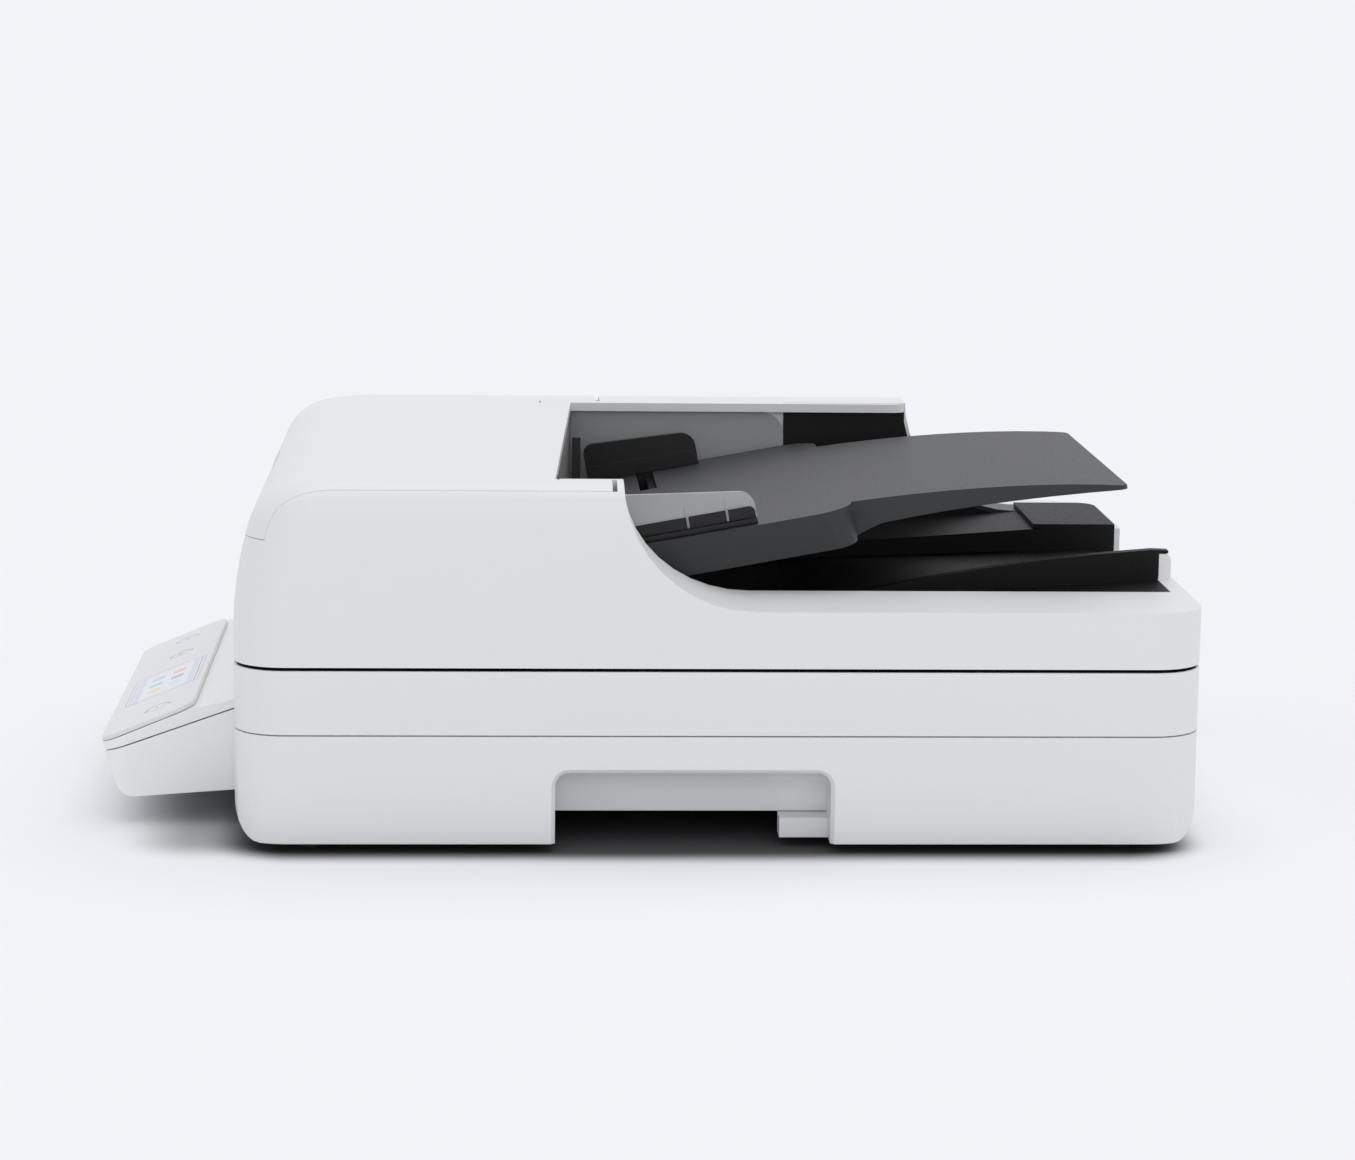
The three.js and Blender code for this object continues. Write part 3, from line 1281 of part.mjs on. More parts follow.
// A shaft with rubber sleeves: sleeves is a list of [x0, x1] stretches from left to right
function rollerProfile(x0, x1, shaft, sleeve, sleeves) {
  const middle = sleeves.flatMap(([a, b]) => [[shaft, a], [sleeve, a], [sleeve, b], [shaft, b]]);
  return [[0, x0], [shaft, x0], ...middle, [shaft, x1], [0, x1]];
}

const sleeveSet = [-sleevePitch, 0, sleevePitch].map((x) => [x - sleeveHalf, x + sleeveHalf]);
const gearLeft = -chassisHalf - gearBack - gearThick;

function gear(teeth, phase, [d, h], x0) {
  return prismX(shift(gearOutline(teeth, gearModule, phase), d, h), x0, x0 + gearThick);
}

function buildRollers() {
  const turnPhase = 0;
  const feedPhase = meshedPhase(turnTeeth, turnPhase, feedTeeth, feedAngle);
  const pinionPhase = meshedPhase(turnTeeth, turnPhase, pinionTeeth, motorAngle);
  const beltX0 = chassisHalf + gearBack;
  const beltX1 = beltX0 + exitBeltWide;
  const pulleyPair = ([d, h]) => turnedX([[0, beltX0 - gap], [exitPulleyRadius, beltX0 - gap],
    [exitPulleyRadius, beltX1 + gap], [0, beltX1 + gap]], d, h, 20);
  const turn = turnedX(rollerProfile(gearLeft, beltX0, shaftRadius, turnRadius, sleeveSet), ...turnAt, 24);
  piece('turn_roller', join(turn, gear(turnTeeth, turnPhase, turnAt, gearLeft), pulleyPair(turnAt)), rubber(),
    lid);
  const exit = turnedX(rollerProfile(-chassisHalf - gap, beltX0, shaftRadius, exitRadius, sleeveSet),
    ...exitAt, 20);
  piece('exit_roller', join(exit, pulleyPair(exitAt)), rubber(), lid);
  const r0 = exitPulleyRadius + gap;
  const lift = THREE.MathUtils.radToDeg(Math.atan2(exitRise - turnRise, exitDepth - turnDepth));
  const loop = (r) => [...arc(...exitAt, r, r, lift - 90, lift + 90, fineSteps),
    ...arc(...turnAt, r, r, lift + 90, lift + 270, fineSteps)];
  piece('exit_belt', cut(prismX(loop(r0 + exitBeltThick), beltX0, beltX1),
    prismX(loop(r0), beltX0 - over, beltX1 + over)),
    rubber(), lid);
  const feed = turnedX(rollerProfile(gearLeft, chassisHalf + gap, shaftRadius, feedRadius,
    [[-feedHalf, feedHalf]]), ...feedAt, 20);
  piece('feed_roller', join(feed, gear(feedTeeth, feedPhase, feedAt, gearLeft)), rubber(), lid);
  const separation = rollerProfile(-separationHalf - 2 * runGap - sideThick + gap,
    separationHalf + 2 * runGap + sideThick - gap,
    pinchShaft, separationRadius, [[-separationHalf, separationHalf]]);
  piece('separation_roller', turnedX(separation, ...separationAt, 20), rubber(), lid);
  const pinchReach = chassisHalf - 2 * sideThick - gap;
  const pinchSet = sleeveSet.map(([a, b]) => [a + runGap, b - runGap]);
  piece('pinch_roller', turnedX(rollerProfile(-pinchReach, pinchReach, pinchShaft, pinchRadius, pinchSet),
    ...pinchAt, 14),
    acetal(), lid);
  piece('motor_pinion', join(gear(pinionTeeth, pinionPhase, motorAt, gearLeft),
    rodX_(...motorAt, motorShaftRadius, gearLeft - gearThick, gearLeft + gap, 12)), acetal(), lid);
  const motorRight = gearLeft - gearBack;
  const can = turnedX([[0, motorRight - feedMotorLong],
    [feedMotorRadius - footRound, motorRight - feedMotorLong],
    [feedMotorRadius, motorRight - feedMotorLong + footRound], [feedMotorRadius, motorRight - footRound],
    [feedMotorRadius - footRound, motorRight], [0, motorRight]], ...motorAt, 20);
  const seat = rodX_(...motorAt, motorShaftRadius + gap, motorRight - feedMotorLong / 2, motorRight + over,
    12);
  const post = block(motorRight - feedMotorLong, motorRight - feedMotorLong / 2, motorAt[0] - wall,
    motorAt[0] + wall,
    plateRise + plateThick + gap, motorAt[1] - feedMotorRadius + wall);
  piece('feeder_motor', cut(join(can, post), seat), steel(), lid);
  const barReach = chassisHalf - sideThick - gap;
  const plateTop = plateRise + plateThick;
  const bar = block(-feedWindowWide / 2 + feedGlassLap, feedWindowWide / 2 - feedGlassLap, backingFront,
    backingFront + backingLong, plateTop - gap, plateTop + backingTall);
  const seats = block(-barReach, barReach, backingFront, backingFront + backingLong, plateTop + gap,
    plateTop + backingTall);
  piece('backing_bar', join(bar, seats), paint(0xf2f2f0, 0.8), lid);
}

// Pick arm hung on the feed shaft, with the pick roller at its end
function buildPickArm() {
  const boss = feedRadius;
  const shellTop = [pickAt[0], pickAt[1]];
  const direction = THREE.MathUtils.radToDeg(Math.atan2(pickAt[1] - feedAt[1], pickAt[0] - feedAt[0]));
  const outline = [...arc(...feedAt, boss, boss, direction + 90, direction + 270, steps),
    ...arc(...shellTop, pickRadius - wall, pickRadius - wall, direction - 90, direction + 90, steps)];
  const plates = join(prismX(outline, armInnerHalf, armInnerHalf + armPlate),
    prismX(outline, -armInnerHalf - armPlate, -armInnerHalf));
  const back = [...arc(...feedAt, boss, boss, direction + 90, direction + 120, 3),
    ...arc(...feedAt, boss - armPlate, boss - armPlate, direction + 120, direction + 90, 3),
    polar(pickAt, pickRadius - wall - armPlate, direction + 90),
    polar(pickAt, pickRadius - wall, direction + 90)];
  const bridgeSpan = prismX(back, -armInnerHalf - armPlate, armInnerHalf + armPlate);
  const clearOf = (at, r) => rodX_(...at, r + runGap, -armInnerHalf - gap, armInnerHalf + gap, 24);
  const bridge = cut(bridgeSpan, clearOf(pickAt, pickRadius), clearOf(feedAt, feedRadius));
  const bores = [rodX_(...feedAt, shaftRadius + boreGap, -chassisHalf, chassisHalf, 14),
    rodX_(...pickAt, pinchShaft + boreGap, -chassisHalf, chassisHalf, 12)];
  piece('pick_arm', cut(join(plates, bridge), ...bores), darkGrey(), lid);
  const profile = rollerProfile(-armInnerHalf - armPlate + gap, armInnerHalf + armPlate - gap, pinchShaft,
    pickRadius,
    [[-feedHalf, feedHalf]]);
  piece('pick_roller', turnedX(profile, ...pickAt, 20), rubber(), lid);
}

// Output tray insert: sloping floor, low valley to the rear notch, one raised ridge
// and a wall along the left side
function buildOutputTray() {
  const back = channelBack - gap;
  const [left, right] = [channelLeft + gap, channelRight - gap];
  const ridgeRight = notchRight + ribWidth;
  const t = insertThick;
  const strip = (front, rear, x0, x1) =>
    prismX([[trayEdge, insertRise], [back, insertRise], [back, rear], [trayEdge, front]],
    x0, x1);
  const curve = new THREE.QuadraticBezierCurve(new THREE.Vector2(ridgeStart, ridgeStartRise),
    new THREE.Vector2(ridgeBend, ridgeBendRise), new THREE.Vector2(back - ribRound, ridgeRise));
  const ridgeTop = curve.getPoints(steps).map((p) => [p.x, p.y]);
  const fin = prismX([[trayEdge, insertRise], [back, insertRise], [back, ridgeRise - gap],
    ...ridgeTop.reverse(),
    [trayEdge, floorFrontRise]], notchRight, ridgeRight);
  const cap = prismX([[back - ribRound, ribTop + gap], [insertReach, ribTop + gap],
    [insertReach, ridgeRise - gap],
    [back - ribRound, ridgeRise]], notchRight, ridgeRight);
  const valley = prismX([[trayEdge, insertRise], [back, insertRise], [back, notchFloor + gap],
    [insertReach, notchFloor + gap],
    [insertReach, valleyLip], [valleyBend, valleyRearRise], [trayEdge, valleyFrontRise]], notchLeft + gap,
    notchRight);
  const cheek = prismX([[valleyBend, insertRise + t], [back, insertRise + t], [back, notchFloor + gap],
    [insertReach, notchFloor + gap], [insertReach, deckRearRise], [valleyBend, deckRearRise - gap]],
  notchLeft + gap, notchLeft + gap + t);
  const flangeLow = rimRise + gap;
  const flange = prismZ(rounded(flangeLeft, flangeFront, notchLeft + gap + t, insertReach,
    [0, 0, 0, flangeCorner], 5),
    flangeLow, deckRearRise);
  const solid = join(strip(floorFrontRise, floorRearRise, ridgeRight - gap, right), fin, cap, valley,
    strip(deckFrontRise, deckRearRise, left, notchLeft + gap + t), cheek, flange);
  const under = (front, rear, x0, x1) =>
    prismX([[trayEdge + t, insertRise - over], [back - t, insertRise - over],
    [back - t, rear - t], [trayEdge + t, front - t]], x0, x1);
  const hollow = join(under(floorFrontRise, floorRearRise, ridgeRight, right - t),
    under(deckFrontRise, deckRearRise, left + t, notchLeft));
  const scoop = scoopRoom(linerThick, armEnd);
  const sideOutline = [[linerBack + gap, floorFrontRise], [back, floorFrontRise], [back, farSideTop],
    [linerBack + gap, farSideTop]];
  const side = cut(prismX(sideOutline, left, left + farSideThick), prismX(scoop, left - over, left + over));
  piece('output_tray', cut(join(cut(solid, hollow), side), hingePocket(1), hingePocket(-1)), black(), lid);
  const liner = prismX(rounded(mouthFrontLeft, linerLow, linerBack, farSideTop, [0, 0, linerRound, 0]), left,
    left + linerThick);
  const pegHole = rodX_(trayPivotDepth, trayPivotRise, trayPinRadius + boreGap, left - over, left + over, 14);
  piece('side_liner', cut(liner, pegHole), midGrey(), lid);
}

// Input tray with its tongue, bottom plate and pivot pins, in its own tilted frame
const gearPitch = rackModule * rackPinionTeeth / 2;
const rackCentre = { right: rackPinionV + gearPitch, left: rackPinionV - gearPitch };
const rackRoot = 1.25 * rackModule;

function stemSpan(hand) {
  const edge = hand > 0 ? rackCentre.right + rackRoot + stemInset
    : rackCentre.left - rackRoot - stemInset - stemLong;
  return [edge, edge + stemLong];
}

function buildTray() {
  tray.position.set(0, trayPivotDepth, trayPivotRise);
  tray.rotation.x = slope;
  const nose = arc(0, 0, trayTop, trayTop, 90, 200, steps);
  const slabOutline = [...nose, [trayTop, -trayUnder], [slabLong, -trayUnder], [slabLong, trayTop]];
  const bezier = (...points) =>
    new THREE.QuadraticBezierCurve(...points.map(([v, w]) => new THREE.Vector2(v, w)));
  const tip = trayTop - tongueDrop;
  const topCurve = bezier([slabLong - slabCorner, trayTop], [tongueBend, trayTop - tongueBendDrop],
    [tongueLong, tip]);
  const fillet = bezier([slabLong - wall, -trayUnder], [slabLong + wall, -tongueRootLow - wall],
    [tongueRoot, -tongueRootLow]);
  const lowCurve = bezier([tongueRoot, -tongueRootLow], [tongueBelly, -tongueBellyLow],
    [tongueLong, tip - tongueTip]);
  const flat = (curve, count) => curve.getPoints(count).map((p) => [p.x, p.y]);
  const tongueOutline = [[slabLong - slabCorner, -trayUnder], ...flat(fillet, 4),
    ...flat(lowCurve, steps).slice(1),
    ...flat(topCurve, fineSteps).reverse()];
  const drafted = prismY([[-trayHalf, trayTop], [trayDraft - trayHalf, -trayUnder],
    [trayHalf - trayDraft, -trayUnder],
    [trayHalf, trayTop]], -2 * trayTop, slabLong);
  const slab = common(prismX(slabOutline, -trayHalf, trayHalf), drafted,
    prismZ(rounded(-trayHalf, -2 * trayTop, trayHalf, slabLong, [0, 0, slabCorner, slabCorner]),
    -2 * trayUnder, 2 * trayUnder));
  const tongue = common(prismX(tongueOutline, -tongueHalf, tongueHalf),
    prismZ(rounded(-tongueHalf, 0, tongueHalf, tongueLong, [0, 0, tongueCorner, tongueCorner]), -humpRise,
    humpRise));
  const roomBack = slabLong - trayWall;
  const roomHalf = trayHalf - trayDraft - trayWall;
  const room = prismZ(rounded(-roomHalf, trayFrontBar, roomHalf, roomBack,
    [0, 0, slabCorner - trayWall, slabCorner - trayWall]), -2 * trayUnder, trayTop - trayWall);
  const slotFor = (hand) => {
    const outerEdge = sheetHalf + stemInset + stemWide + runGap;
    const innerEdge = sheetHalf + stemInset - guideTravel - runGap;
    const [v0, v1] = stemSpan(hand);
    return block(hand > 0 ? innerEdge : -outerEdge, hand > 0 ? outerEdge : -innerEdge, v0 - runGap,
      v1 + runGap,
      trayTop - trayWall - over, trayTop + over);
  };
  const rightWall = channelRight + wallLean * (trayPivotRise - rimRise) / (shoulderRise - rimRise);
  const pegs = rodX_(0, 0, trayPinRadius, channelLeft - wall + gap, rightWall + wall, 14);
  const post = rodZ(0, rackPinionV, pinionBore - boreGap, pinionLow - runGap, trayTop - wall / 2, 12);
  const solid = join(cut(join(slab, tongue, pegs), room, slotFor(1), slotFor(-1)), post);
  piece('input_tray', solid, darkGrey(), tray);
  piece('tray_bottom', prismZ(rounded(gap - roomHalf, trayFrontBar + gap, roomHalf - gap, roomBack - gap,
    [0, 0, slabCorner - trayWall, slabCorner - trayWall]), -trayUnder, -trayUnder + bottomThick), darkGrey(),
    tray);
}

// Paper guides: walls on feet, with stems through the tray's slots to the racks that mesh with one pinion
const rackHigh = trayTop - trayWall - runGap;
const rackLow = rackHigh - rackTall;
const pinionLow = rackLow;

function rackOutline(hand) {
  const pitch = Math.PI * rackModule;
  const centre = hand > 0 ? rackCentre.right : rackCentre.left;
  const flank = Math.tan(THREE.MathUtils.degToRad(20));
  const toothShare = 0.41;
  const half = pitch * toothShare / 2;
  const tip = 0.9 * rackModule;
  const first = -3.5 * pitch;
  const points = [];
  for (let i = 0; i < rackTeeth; i++) {
    const x = first + i * pitch;
    points.push([x - half - rackRoot * flank, rackRoot], [x - half + tip * flank, -tip],
      [x + half - tip * flank, -tip],
      [x + half + rackRoot * flank, rackRoot]);
  }
  const end = sheetHalf + stemInset - gap;
  const body = [...points, [end, rackRoot], [end, rackRoot + rackBack], [first - pitch, rackRoot + rackBack],
    [first - pitch, rackRoot]];
  return body.map(([x, v]) => [hand * x, centre + hand * v]);
}

// A guide's side outline over the tray: sloping top, rounded at the rear end and, with a nose, at the front
function guideOutline(front, back, low, tallFront, tallBack, nose, r) {
  const topAt = (v) => trayTop + tallFront + (tallBack - tallFront) * (v - front) / (back - front);
  const rear = arc(back - r, topAt(back - r) - r, r, r, 0, 90, 5);
  const head = nose > 0 ? arc(front + nose, topAt(front + nose) - nose, nose, nose, 90, 180, 3)
    : [[front, topAt(front)]];
  return [[front, low], [back, low], ...rear, ...head];
}

function buildGuides() {
  const low = trayTop + gap;
  const sheet = sheetHalf;
  const t = guideThickness;
  const foot = (hand, front, back) =>
    block(...span(hand, sheet, sheet + guideFoot), front, back, low, low + guideFootTall);
  const stem = (hand) => {
    const [v0, v1] = stemSpan(hand);
    const x = sheet + stemInset;
    return block(...span(hand, x, x + stemWide), v0, v1, rackLow, low + guideFootTall / 2);
  };
  const base = prismX(guideOutline(guideRightFront, guideRightBack, low, guideBaseTall, guideBaseTall, 0,
    guideBaseRound),
    sheet, sheet + t);
  piece('guide_right', join(base, foot(1, guideRightFront, guideRightBack), stem(1)), black(), tray);
  const windowLow = low + guideFootTall + gap;
  const windowX = sheet + t + gap;
  const windowBack = guideRightBack + gap;
  const window = prismX(guideOutline(guideRightFront, windowBack, windowLow, guideRightTall, guideRightLow, 0,
    guideRound),
    windowX, windowX + guideWindowThick);
  const ribs = guideRibs.map((v) =>
    block(windowX + guideWindowThick - gap, windowX + guideWindowThick + guideRibProud,
    v - guideRibWide / 2, v + guideRibWide / 2, windowLow, trayTop + guideRightLow - guideRibWide));
  piece('guide_window', join(window, ...ribs), clear(), tray);
  const leftBase = prismX(guideOutline(guideLeftFront, guideLeftBack, low, guideBaseTall, guideBaseTall, 0,
    guideBaseRound),
    -sheet - t - guideRail, -sheet);
  const leftPlate = prismX(guideOutline(guideLeftFront, guideLeftBack, low, guideLeftTall, guideLeftLow,
    guideLeftNose,
    guideRound),     -sheet - t - guideRail, -sheet - guideRail);
  piece('guide_left', join(leftBase, leftPlate, foot(-1, guideLeftFront, guideLeftBack), stem(-1)), black(),
    tray);
  piece('rack_right', prismZ(rackOutline(1), rackLow, rackHigh), black(), tray);
  piece('rack_left', prismZ(rackOutline(-1), rackLow, rackHigh), black(), tray);
  const pinion = prismZ(shift(gearOutline(rackPinionTeeth, rackModule, 0), 0, rackPinionV), rackLow,
    rackHigh);
  piece('guide_pinion', cut(pinion, rodZ(0, rackPinionV, pinionBore, rackLow - over, rackHigh + over, 14)),
    acetal(), tray);
}

buildTub();
buildFeet();
buildFrame();
buildCarriage();
buildDrive();
buildElectronics();
buildPanel();
buildLidShell();
buildCover();
buildUnderside();
buildHinges();
buildChassis();
buildRollers();
buildPickArm();
buildOutputTray();
buildTray();
buildGuides();

export default scanner;
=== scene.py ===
# A flatbed scanner with a document feeder in its lid. The imported model gives every rigid piece.
# This file gives each its finish, adds the rim seal, whose black is painted shade in the gap under the lid,
# the prints, the screws under the lid and the skirt of a guide, and sets up the studio that the photograph
# shows.
import json
import math

import bmesh
import bpy
from mathutils import Euler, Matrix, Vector


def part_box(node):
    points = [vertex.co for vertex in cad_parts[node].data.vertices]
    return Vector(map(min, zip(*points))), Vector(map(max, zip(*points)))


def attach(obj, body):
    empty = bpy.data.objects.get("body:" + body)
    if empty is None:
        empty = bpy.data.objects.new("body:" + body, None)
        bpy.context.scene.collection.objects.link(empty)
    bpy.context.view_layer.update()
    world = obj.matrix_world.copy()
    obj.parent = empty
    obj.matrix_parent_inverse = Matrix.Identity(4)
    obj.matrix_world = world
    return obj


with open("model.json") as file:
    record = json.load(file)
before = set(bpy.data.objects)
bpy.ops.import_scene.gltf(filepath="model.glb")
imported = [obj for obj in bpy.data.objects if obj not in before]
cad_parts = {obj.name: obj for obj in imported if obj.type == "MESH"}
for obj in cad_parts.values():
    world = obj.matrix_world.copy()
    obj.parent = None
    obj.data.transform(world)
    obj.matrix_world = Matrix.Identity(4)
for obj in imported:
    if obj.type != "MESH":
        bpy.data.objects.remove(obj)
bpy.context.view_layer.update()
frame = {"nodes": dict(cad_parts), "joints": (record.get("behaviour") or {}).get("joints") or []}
nodes = frame["nodes"]

# Camera: far back on the scanner's right, a little above the deck, looking across it with a long lens.
# Place and turn come from the photograph's vanishing points.
camera_place = (1.82911, -0.0702, 0.41447)
camera_turn = (80.2126, -0.688, 87.2703)
camera_lens = 97.467
camera_sensor = 36
camera_reach = 200


def put_in_scene(name, data):
    thing = bpy.data.objects.new(name, data)
    bpy.context.scene.collection.objects.link(thing)
    return thing


def turned(degrees):
    return Euler([math.radians(turn) for turn in degrees])


viewer = put_in_scene("photo_camera", bpy.data.cameras.new("photo_camera"))
viewer.data.lens = camera_lens
viewer.data.sensor_width = camera_sensor
viewer.data.clip_end = camera_reach
viewer.location = camera_place
viewer.rotation_euler = turned(camera_turn)
bpy.context.scene.camera = viewer

# Lower casing: a white ABS tub, moulded in one shot with a fine spark-eroded grain and softly rounded
# edges. Its skin breaks the highlights up softly; the recessed floor below is coloured black.
shell_white = (0.800, 0.802, 0.806)
shell_grain = 0.00035
shell_depth = 0.00002
shell_roughness = (0.34, 0.46)
shell_drift = 0.012
shell_edge = 0.0005
weld_gap = 1e-6
sharp_angle = 32
edge_rings = 2
flat_weight = 100


def shader_of(material):
    return material.node_tree.nodes["Principled BSDF"]


def feed(tree, value, socket):
    if isinstance(value, bpy.types.NodeSocket):
        tree.links.new(value, socket)
    elif socket.type == "RGBA":
        socket.default_value = (*value, 1)
    else:
        socket.default_value = value


def blank_finish(name):
    material = bpy.data.materials.new(name)
    material.use_nodes = True
    tree = material.node_tree
    place = tree.nodes.new("ShaderNodeTexCoord").outputs["Object"]
    return material, tree, shader_of(material), place


def noise(tree, place, size, detail, roughness=0.5):
    texture = tree.nodes.new("ShaderNodeTexNoise")
    texture.inputs["Scale"].default_value = 1 / size
    texture.inputs["Detail"].default_value = detail
    texture.inputs["Roughness"].default_value = roughness
    tree.links.new(place, texture.inputs["Vector"])
    return texture.outputs["Fac"]


def spread(tree, value, low, high, start=0.3, end=0.7):
    ramp = tree.nodes.new("ShaderNodeMapRange")
    ramp.inputs["From Min"].default_value = start
    ramp.inputs["From Max"].default_value = end
    ramp.inputs["To Min"].default_value = low
    ramp.inputs["To Max"].default_value = high
    tree.links.new(value, ramp.inputs["Value"])
    return ramp.outputs["Result"]


def tinted(tree, amount, low, high):
    mix = tree.nodes.new("ShaderNodeMix")
    mix.data_type = "RGBA"
    feed(tree, low, mix.inputs["A"])
    feed(tree, high, mix.inputs["B"])
    feed(tree, amount, mix.inputs["Factor"])
    return mix.outputs["Result"]


def times(colour, factor):
    return tuple(channel * factor for channel in colour)


def relief(tree, shader, height, depth):
    bump = tree.nodes.new("ShaderNodeBump")
    bump.inputs["Strength"].default_value = 1
    bump.inputs["Distance"].default_value = depth
    tree.links.new(height, bump.inputs["Height"])
    tree.links.new(bump.outputs["Normal"], shader.inputs["Normal"])


def moulded(name, colour, grain, depth, roughness, drift, specular=0.5):
    material, tree, shader, place = blank_finish(name)
    cloud = noise(tree, place, size=0.09, detail=2)
    speck = noise(tree, place, size=grain, detail=2, roughness=0.6)
    feed(tree, tinted(tree, cloud, times(colour, 1 - drift), colour), shader.inputs["Base Color"])
    feed(tree, spread(tree, speck, *roughness), shader.inputs["Roughness"])
    feed(tree, specular, shader.inputs["Specular IOR Level"])
    relief(tree, shader, speck, depth)
    return material


def finish(material, *names):
    for name in names:
        mesh = nodes[name].data
        mesh.materials.clear()
        mesh.materials.append(material)


def soften(*names, edge):
    for name in names:
        piece = nodes[name]
        piece.data.shade_smooth()
        weld = piece.modifiers.new("weld", "WELD")
        weld.merge_threshold = weld_gap
        bevel = piece.modifiers.new("edge", "BEVEL")
        bevel.width = edge
        bevel.segments = edge_rings
        bevel.limit_method = "ANGLE"
        bevel.angle_limit = math.radians(sharp_angle)
        bevel.harden_normals = True
        bevel.use_clamp_overlap = True
        even = piece.modifiers.new("even", "WEIGHTED_NORMAL")
        even.mode = "FACE_AREA"
        even.weight = flat_weight


def reckoned(tree, operation, *terms, kind="ShaderNodeMath", result="Value"):
    node = tree.nodes.new(kind)
    node.operation = operation
    for term, socket in zip(terms, node.inputs):
        feed(tree, term, socket)
    return node.outputs[result]


def within(tree, place, low, high):
    split = tree.nodes.new("ShaderNodeSeparateXYZ")
    tree.links.new(place, split.inputs["Vector"])
    across, along, upward = [
        reckoned(tree, "COMPARE", split.outputs[axis], (start + end) / 2, (end - start) / 2)
        for axis, start, end in zip("XYZ", low, high)]
    return reckoned(tree, "MULTIPLY", reckoned(tree, "MULTIPLY", across, along), upward)


def lined(material, name, colour, boxes):
    other = material.copy()
    other.name = name
    tree = other.node_tree
    skin = shader_of(other).inputs["Base Color"]
    place = tree.nodes.new("ShaderNodeTexCoord").outputs["Object"]
    for low, high in boxes:
        inside = within(tree, place, low, high)
        tree.links.new(tinted(tree, inside, skin.links[0].from_socket, colour), skin)
    return other


white_shell = moulded("white_shell", shell_white, shell_grain, shell_depth, shell_roughness, shell_drift)
tub_low, tub_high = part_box("base_tub")
side_wall = 0.0024
end_curve = 0.0155
plan_corner = 0.0270
floor_top = 0.0195
recess_back = 0.136
recess_ends = (-0.046, 0.111)
underside_black = (0.010, 0.010, 0.011)
front_inside = tub_low.y + end_curve
rear_inside = tub_high.y - end_curve
floor_boxes = [((-recess_back, front_inside, 0), (recess_back, rear_inside, floor_top))]
for start, end in ((tub_low.x + side_wall, -recess_back), (recess_back, tub_high.x - side_wall)):
    floor_boxes.append(((start, tub_low.y + plan_corner, 0), (end, recess_ends[0], floor_top)))
    floor_boxes.append(((start, recess_ends[1], 0), (end, tub_high.y - plan_corner, floor_top)))
finish(lined(white_shell, "tub_white", underside_black, floor_boxes), "base_tub")
soften("base_tub", edge=shell_edge)

# Feet: four round pads of black nitrile rubber, pushed into the tub's bosses.
# They are dull, with a faint bloom of dust in patches.
rubber_black = (0.018, 0.018, 0.019)
rubber_dust = (0.05, 0.05, 0.05)
feet = [f"foot_{end}_{side}" for end in ("front", "rear") for side in ("right", "left")]


def rubbery(name, colour, dust):
    material, tree, shader, place = blank_finish(name)
    cloud = noise(tree, place, size=0.006, detail=4)
    bloom = spread(tree, cloud, low=0, high=1, start=0.5, end=0.75)
    feed(tree, tinted(tree, bloom, colour, dust), shader.inputs["Base Color"])
    feed(tree, 0.85, shader.inputs["Roughness"])
    feed(tree, 0.3, shader.inputs["Specular IOR Level"])
    relief(tree, shader, noise(tree, place, size=0.0006, detail=3), depth=0.00004)
    return material


black_rubber = rubbery("black_rubber", rubber_black, rubber_dust)
finish(black_rubber, *feet)
soften(*feet, edge=0.0003)

# Drive of the carriage: a ground steel rod, a stepper motor in a zinc-plated can, a toothed rubber belt
# and two pulleys, the driven one of brass and the idler of white acetal.
steel_bright = (0.62, 0.62, 0.61)
steel_worn = (0.42, 0.42, 0.42)
zinc_bright = (0.58, 0.59, 0.60)
zinc_worn = (0.40, 0.41, 0.43)
brass_bright = (0.72, 0.52, 0.22)
brass_worn = (0.5, 0.34, 0.12)
acetal_white = (0.76, 0.75, 0.70)
acetal_haze = 0.08
acetal_reach = (0.002, 0.002, 0.0015)
along_rod = (1, 0.05, 1)
round_can = (1, 1, 0.2)


def drawn_metal(name, bright, worn, stretch, roughness=(0.42, 0.22)):
    material, tree, shader, place = blank_finish(name)
    drawn = tree.nodes.new("ShaderNodeMapping")
    drawn.inputs["Scale"].default_value = stretch
    tree.links.new(place, drawn.inputs["Vector"])
    streak = noise(tree, drawn.outputs["Vector"], size=0.0015, detail=4, roughness=0.6)
    feed(tree, tinted(tree, streak, worn, bright), shader.inputs["Base Color"])
    feed(tree, spread(tree, streak, *roughness), shader.inputs["Roughness"])
    feed(tree, 1, shader.inputs["Metallic"])
    relief(tree, shader, streak, depth=0.00001)
    return material


ground_steel = drawn_metal("ground_steel", steel_bright, steel_worn, along_rod)
plated_can = drawn_metal("plated_can", zinc_bright, zinc_worn, round_can, roughness=(0.5, 0.3))
cut_brass = drawn_metal("cut_brass", brass_bright, brass_worn, round_can)
white_acetal = moulded(
    "white_acetal", acetal_white, grain=0.0008, depth=0.00001, roughness=(0.3, 0.4), drift=0.03)
shader_of(white_acetal).inputs["Subsurface Weight"].default_value = acetal_haze
shader_of(white_acetal).inputs["Subsurface Radius"].default_value = acetal_reach
finish(ground_steel, "guide_rod")
finish(plated_can, "scan_motor")
finish(cut_brass, "drive_pulley")
finish(white_acetal, "idler_pulley")
finish(black_rubber, "scan_belt")
soften("guide_rod", "scan_motor", "drive_pulley", "idler_pulley", edge=0.0002)

# Carriage: a black glass-filled casing that rides on the rod and holds the optics.
# The light bar on top of it is a clear acrylic rod that glows evenly.
carriage_black = (0.022, 0.022, 0.024)
light_white = (0.92, 0.96, 0.93)
light_glow = 0.25
acrylic_index = 1.49
haze_range = 0.03
glass_filled = moulded(
    "glass_filled", carriage_black, grain=0.0012, depth=0.00003, roughness=(0.45, 0.6), drift=0.2)
finish(glass_filled, "scan_carriage")
soften("scan_carriage", edge=0.0003)


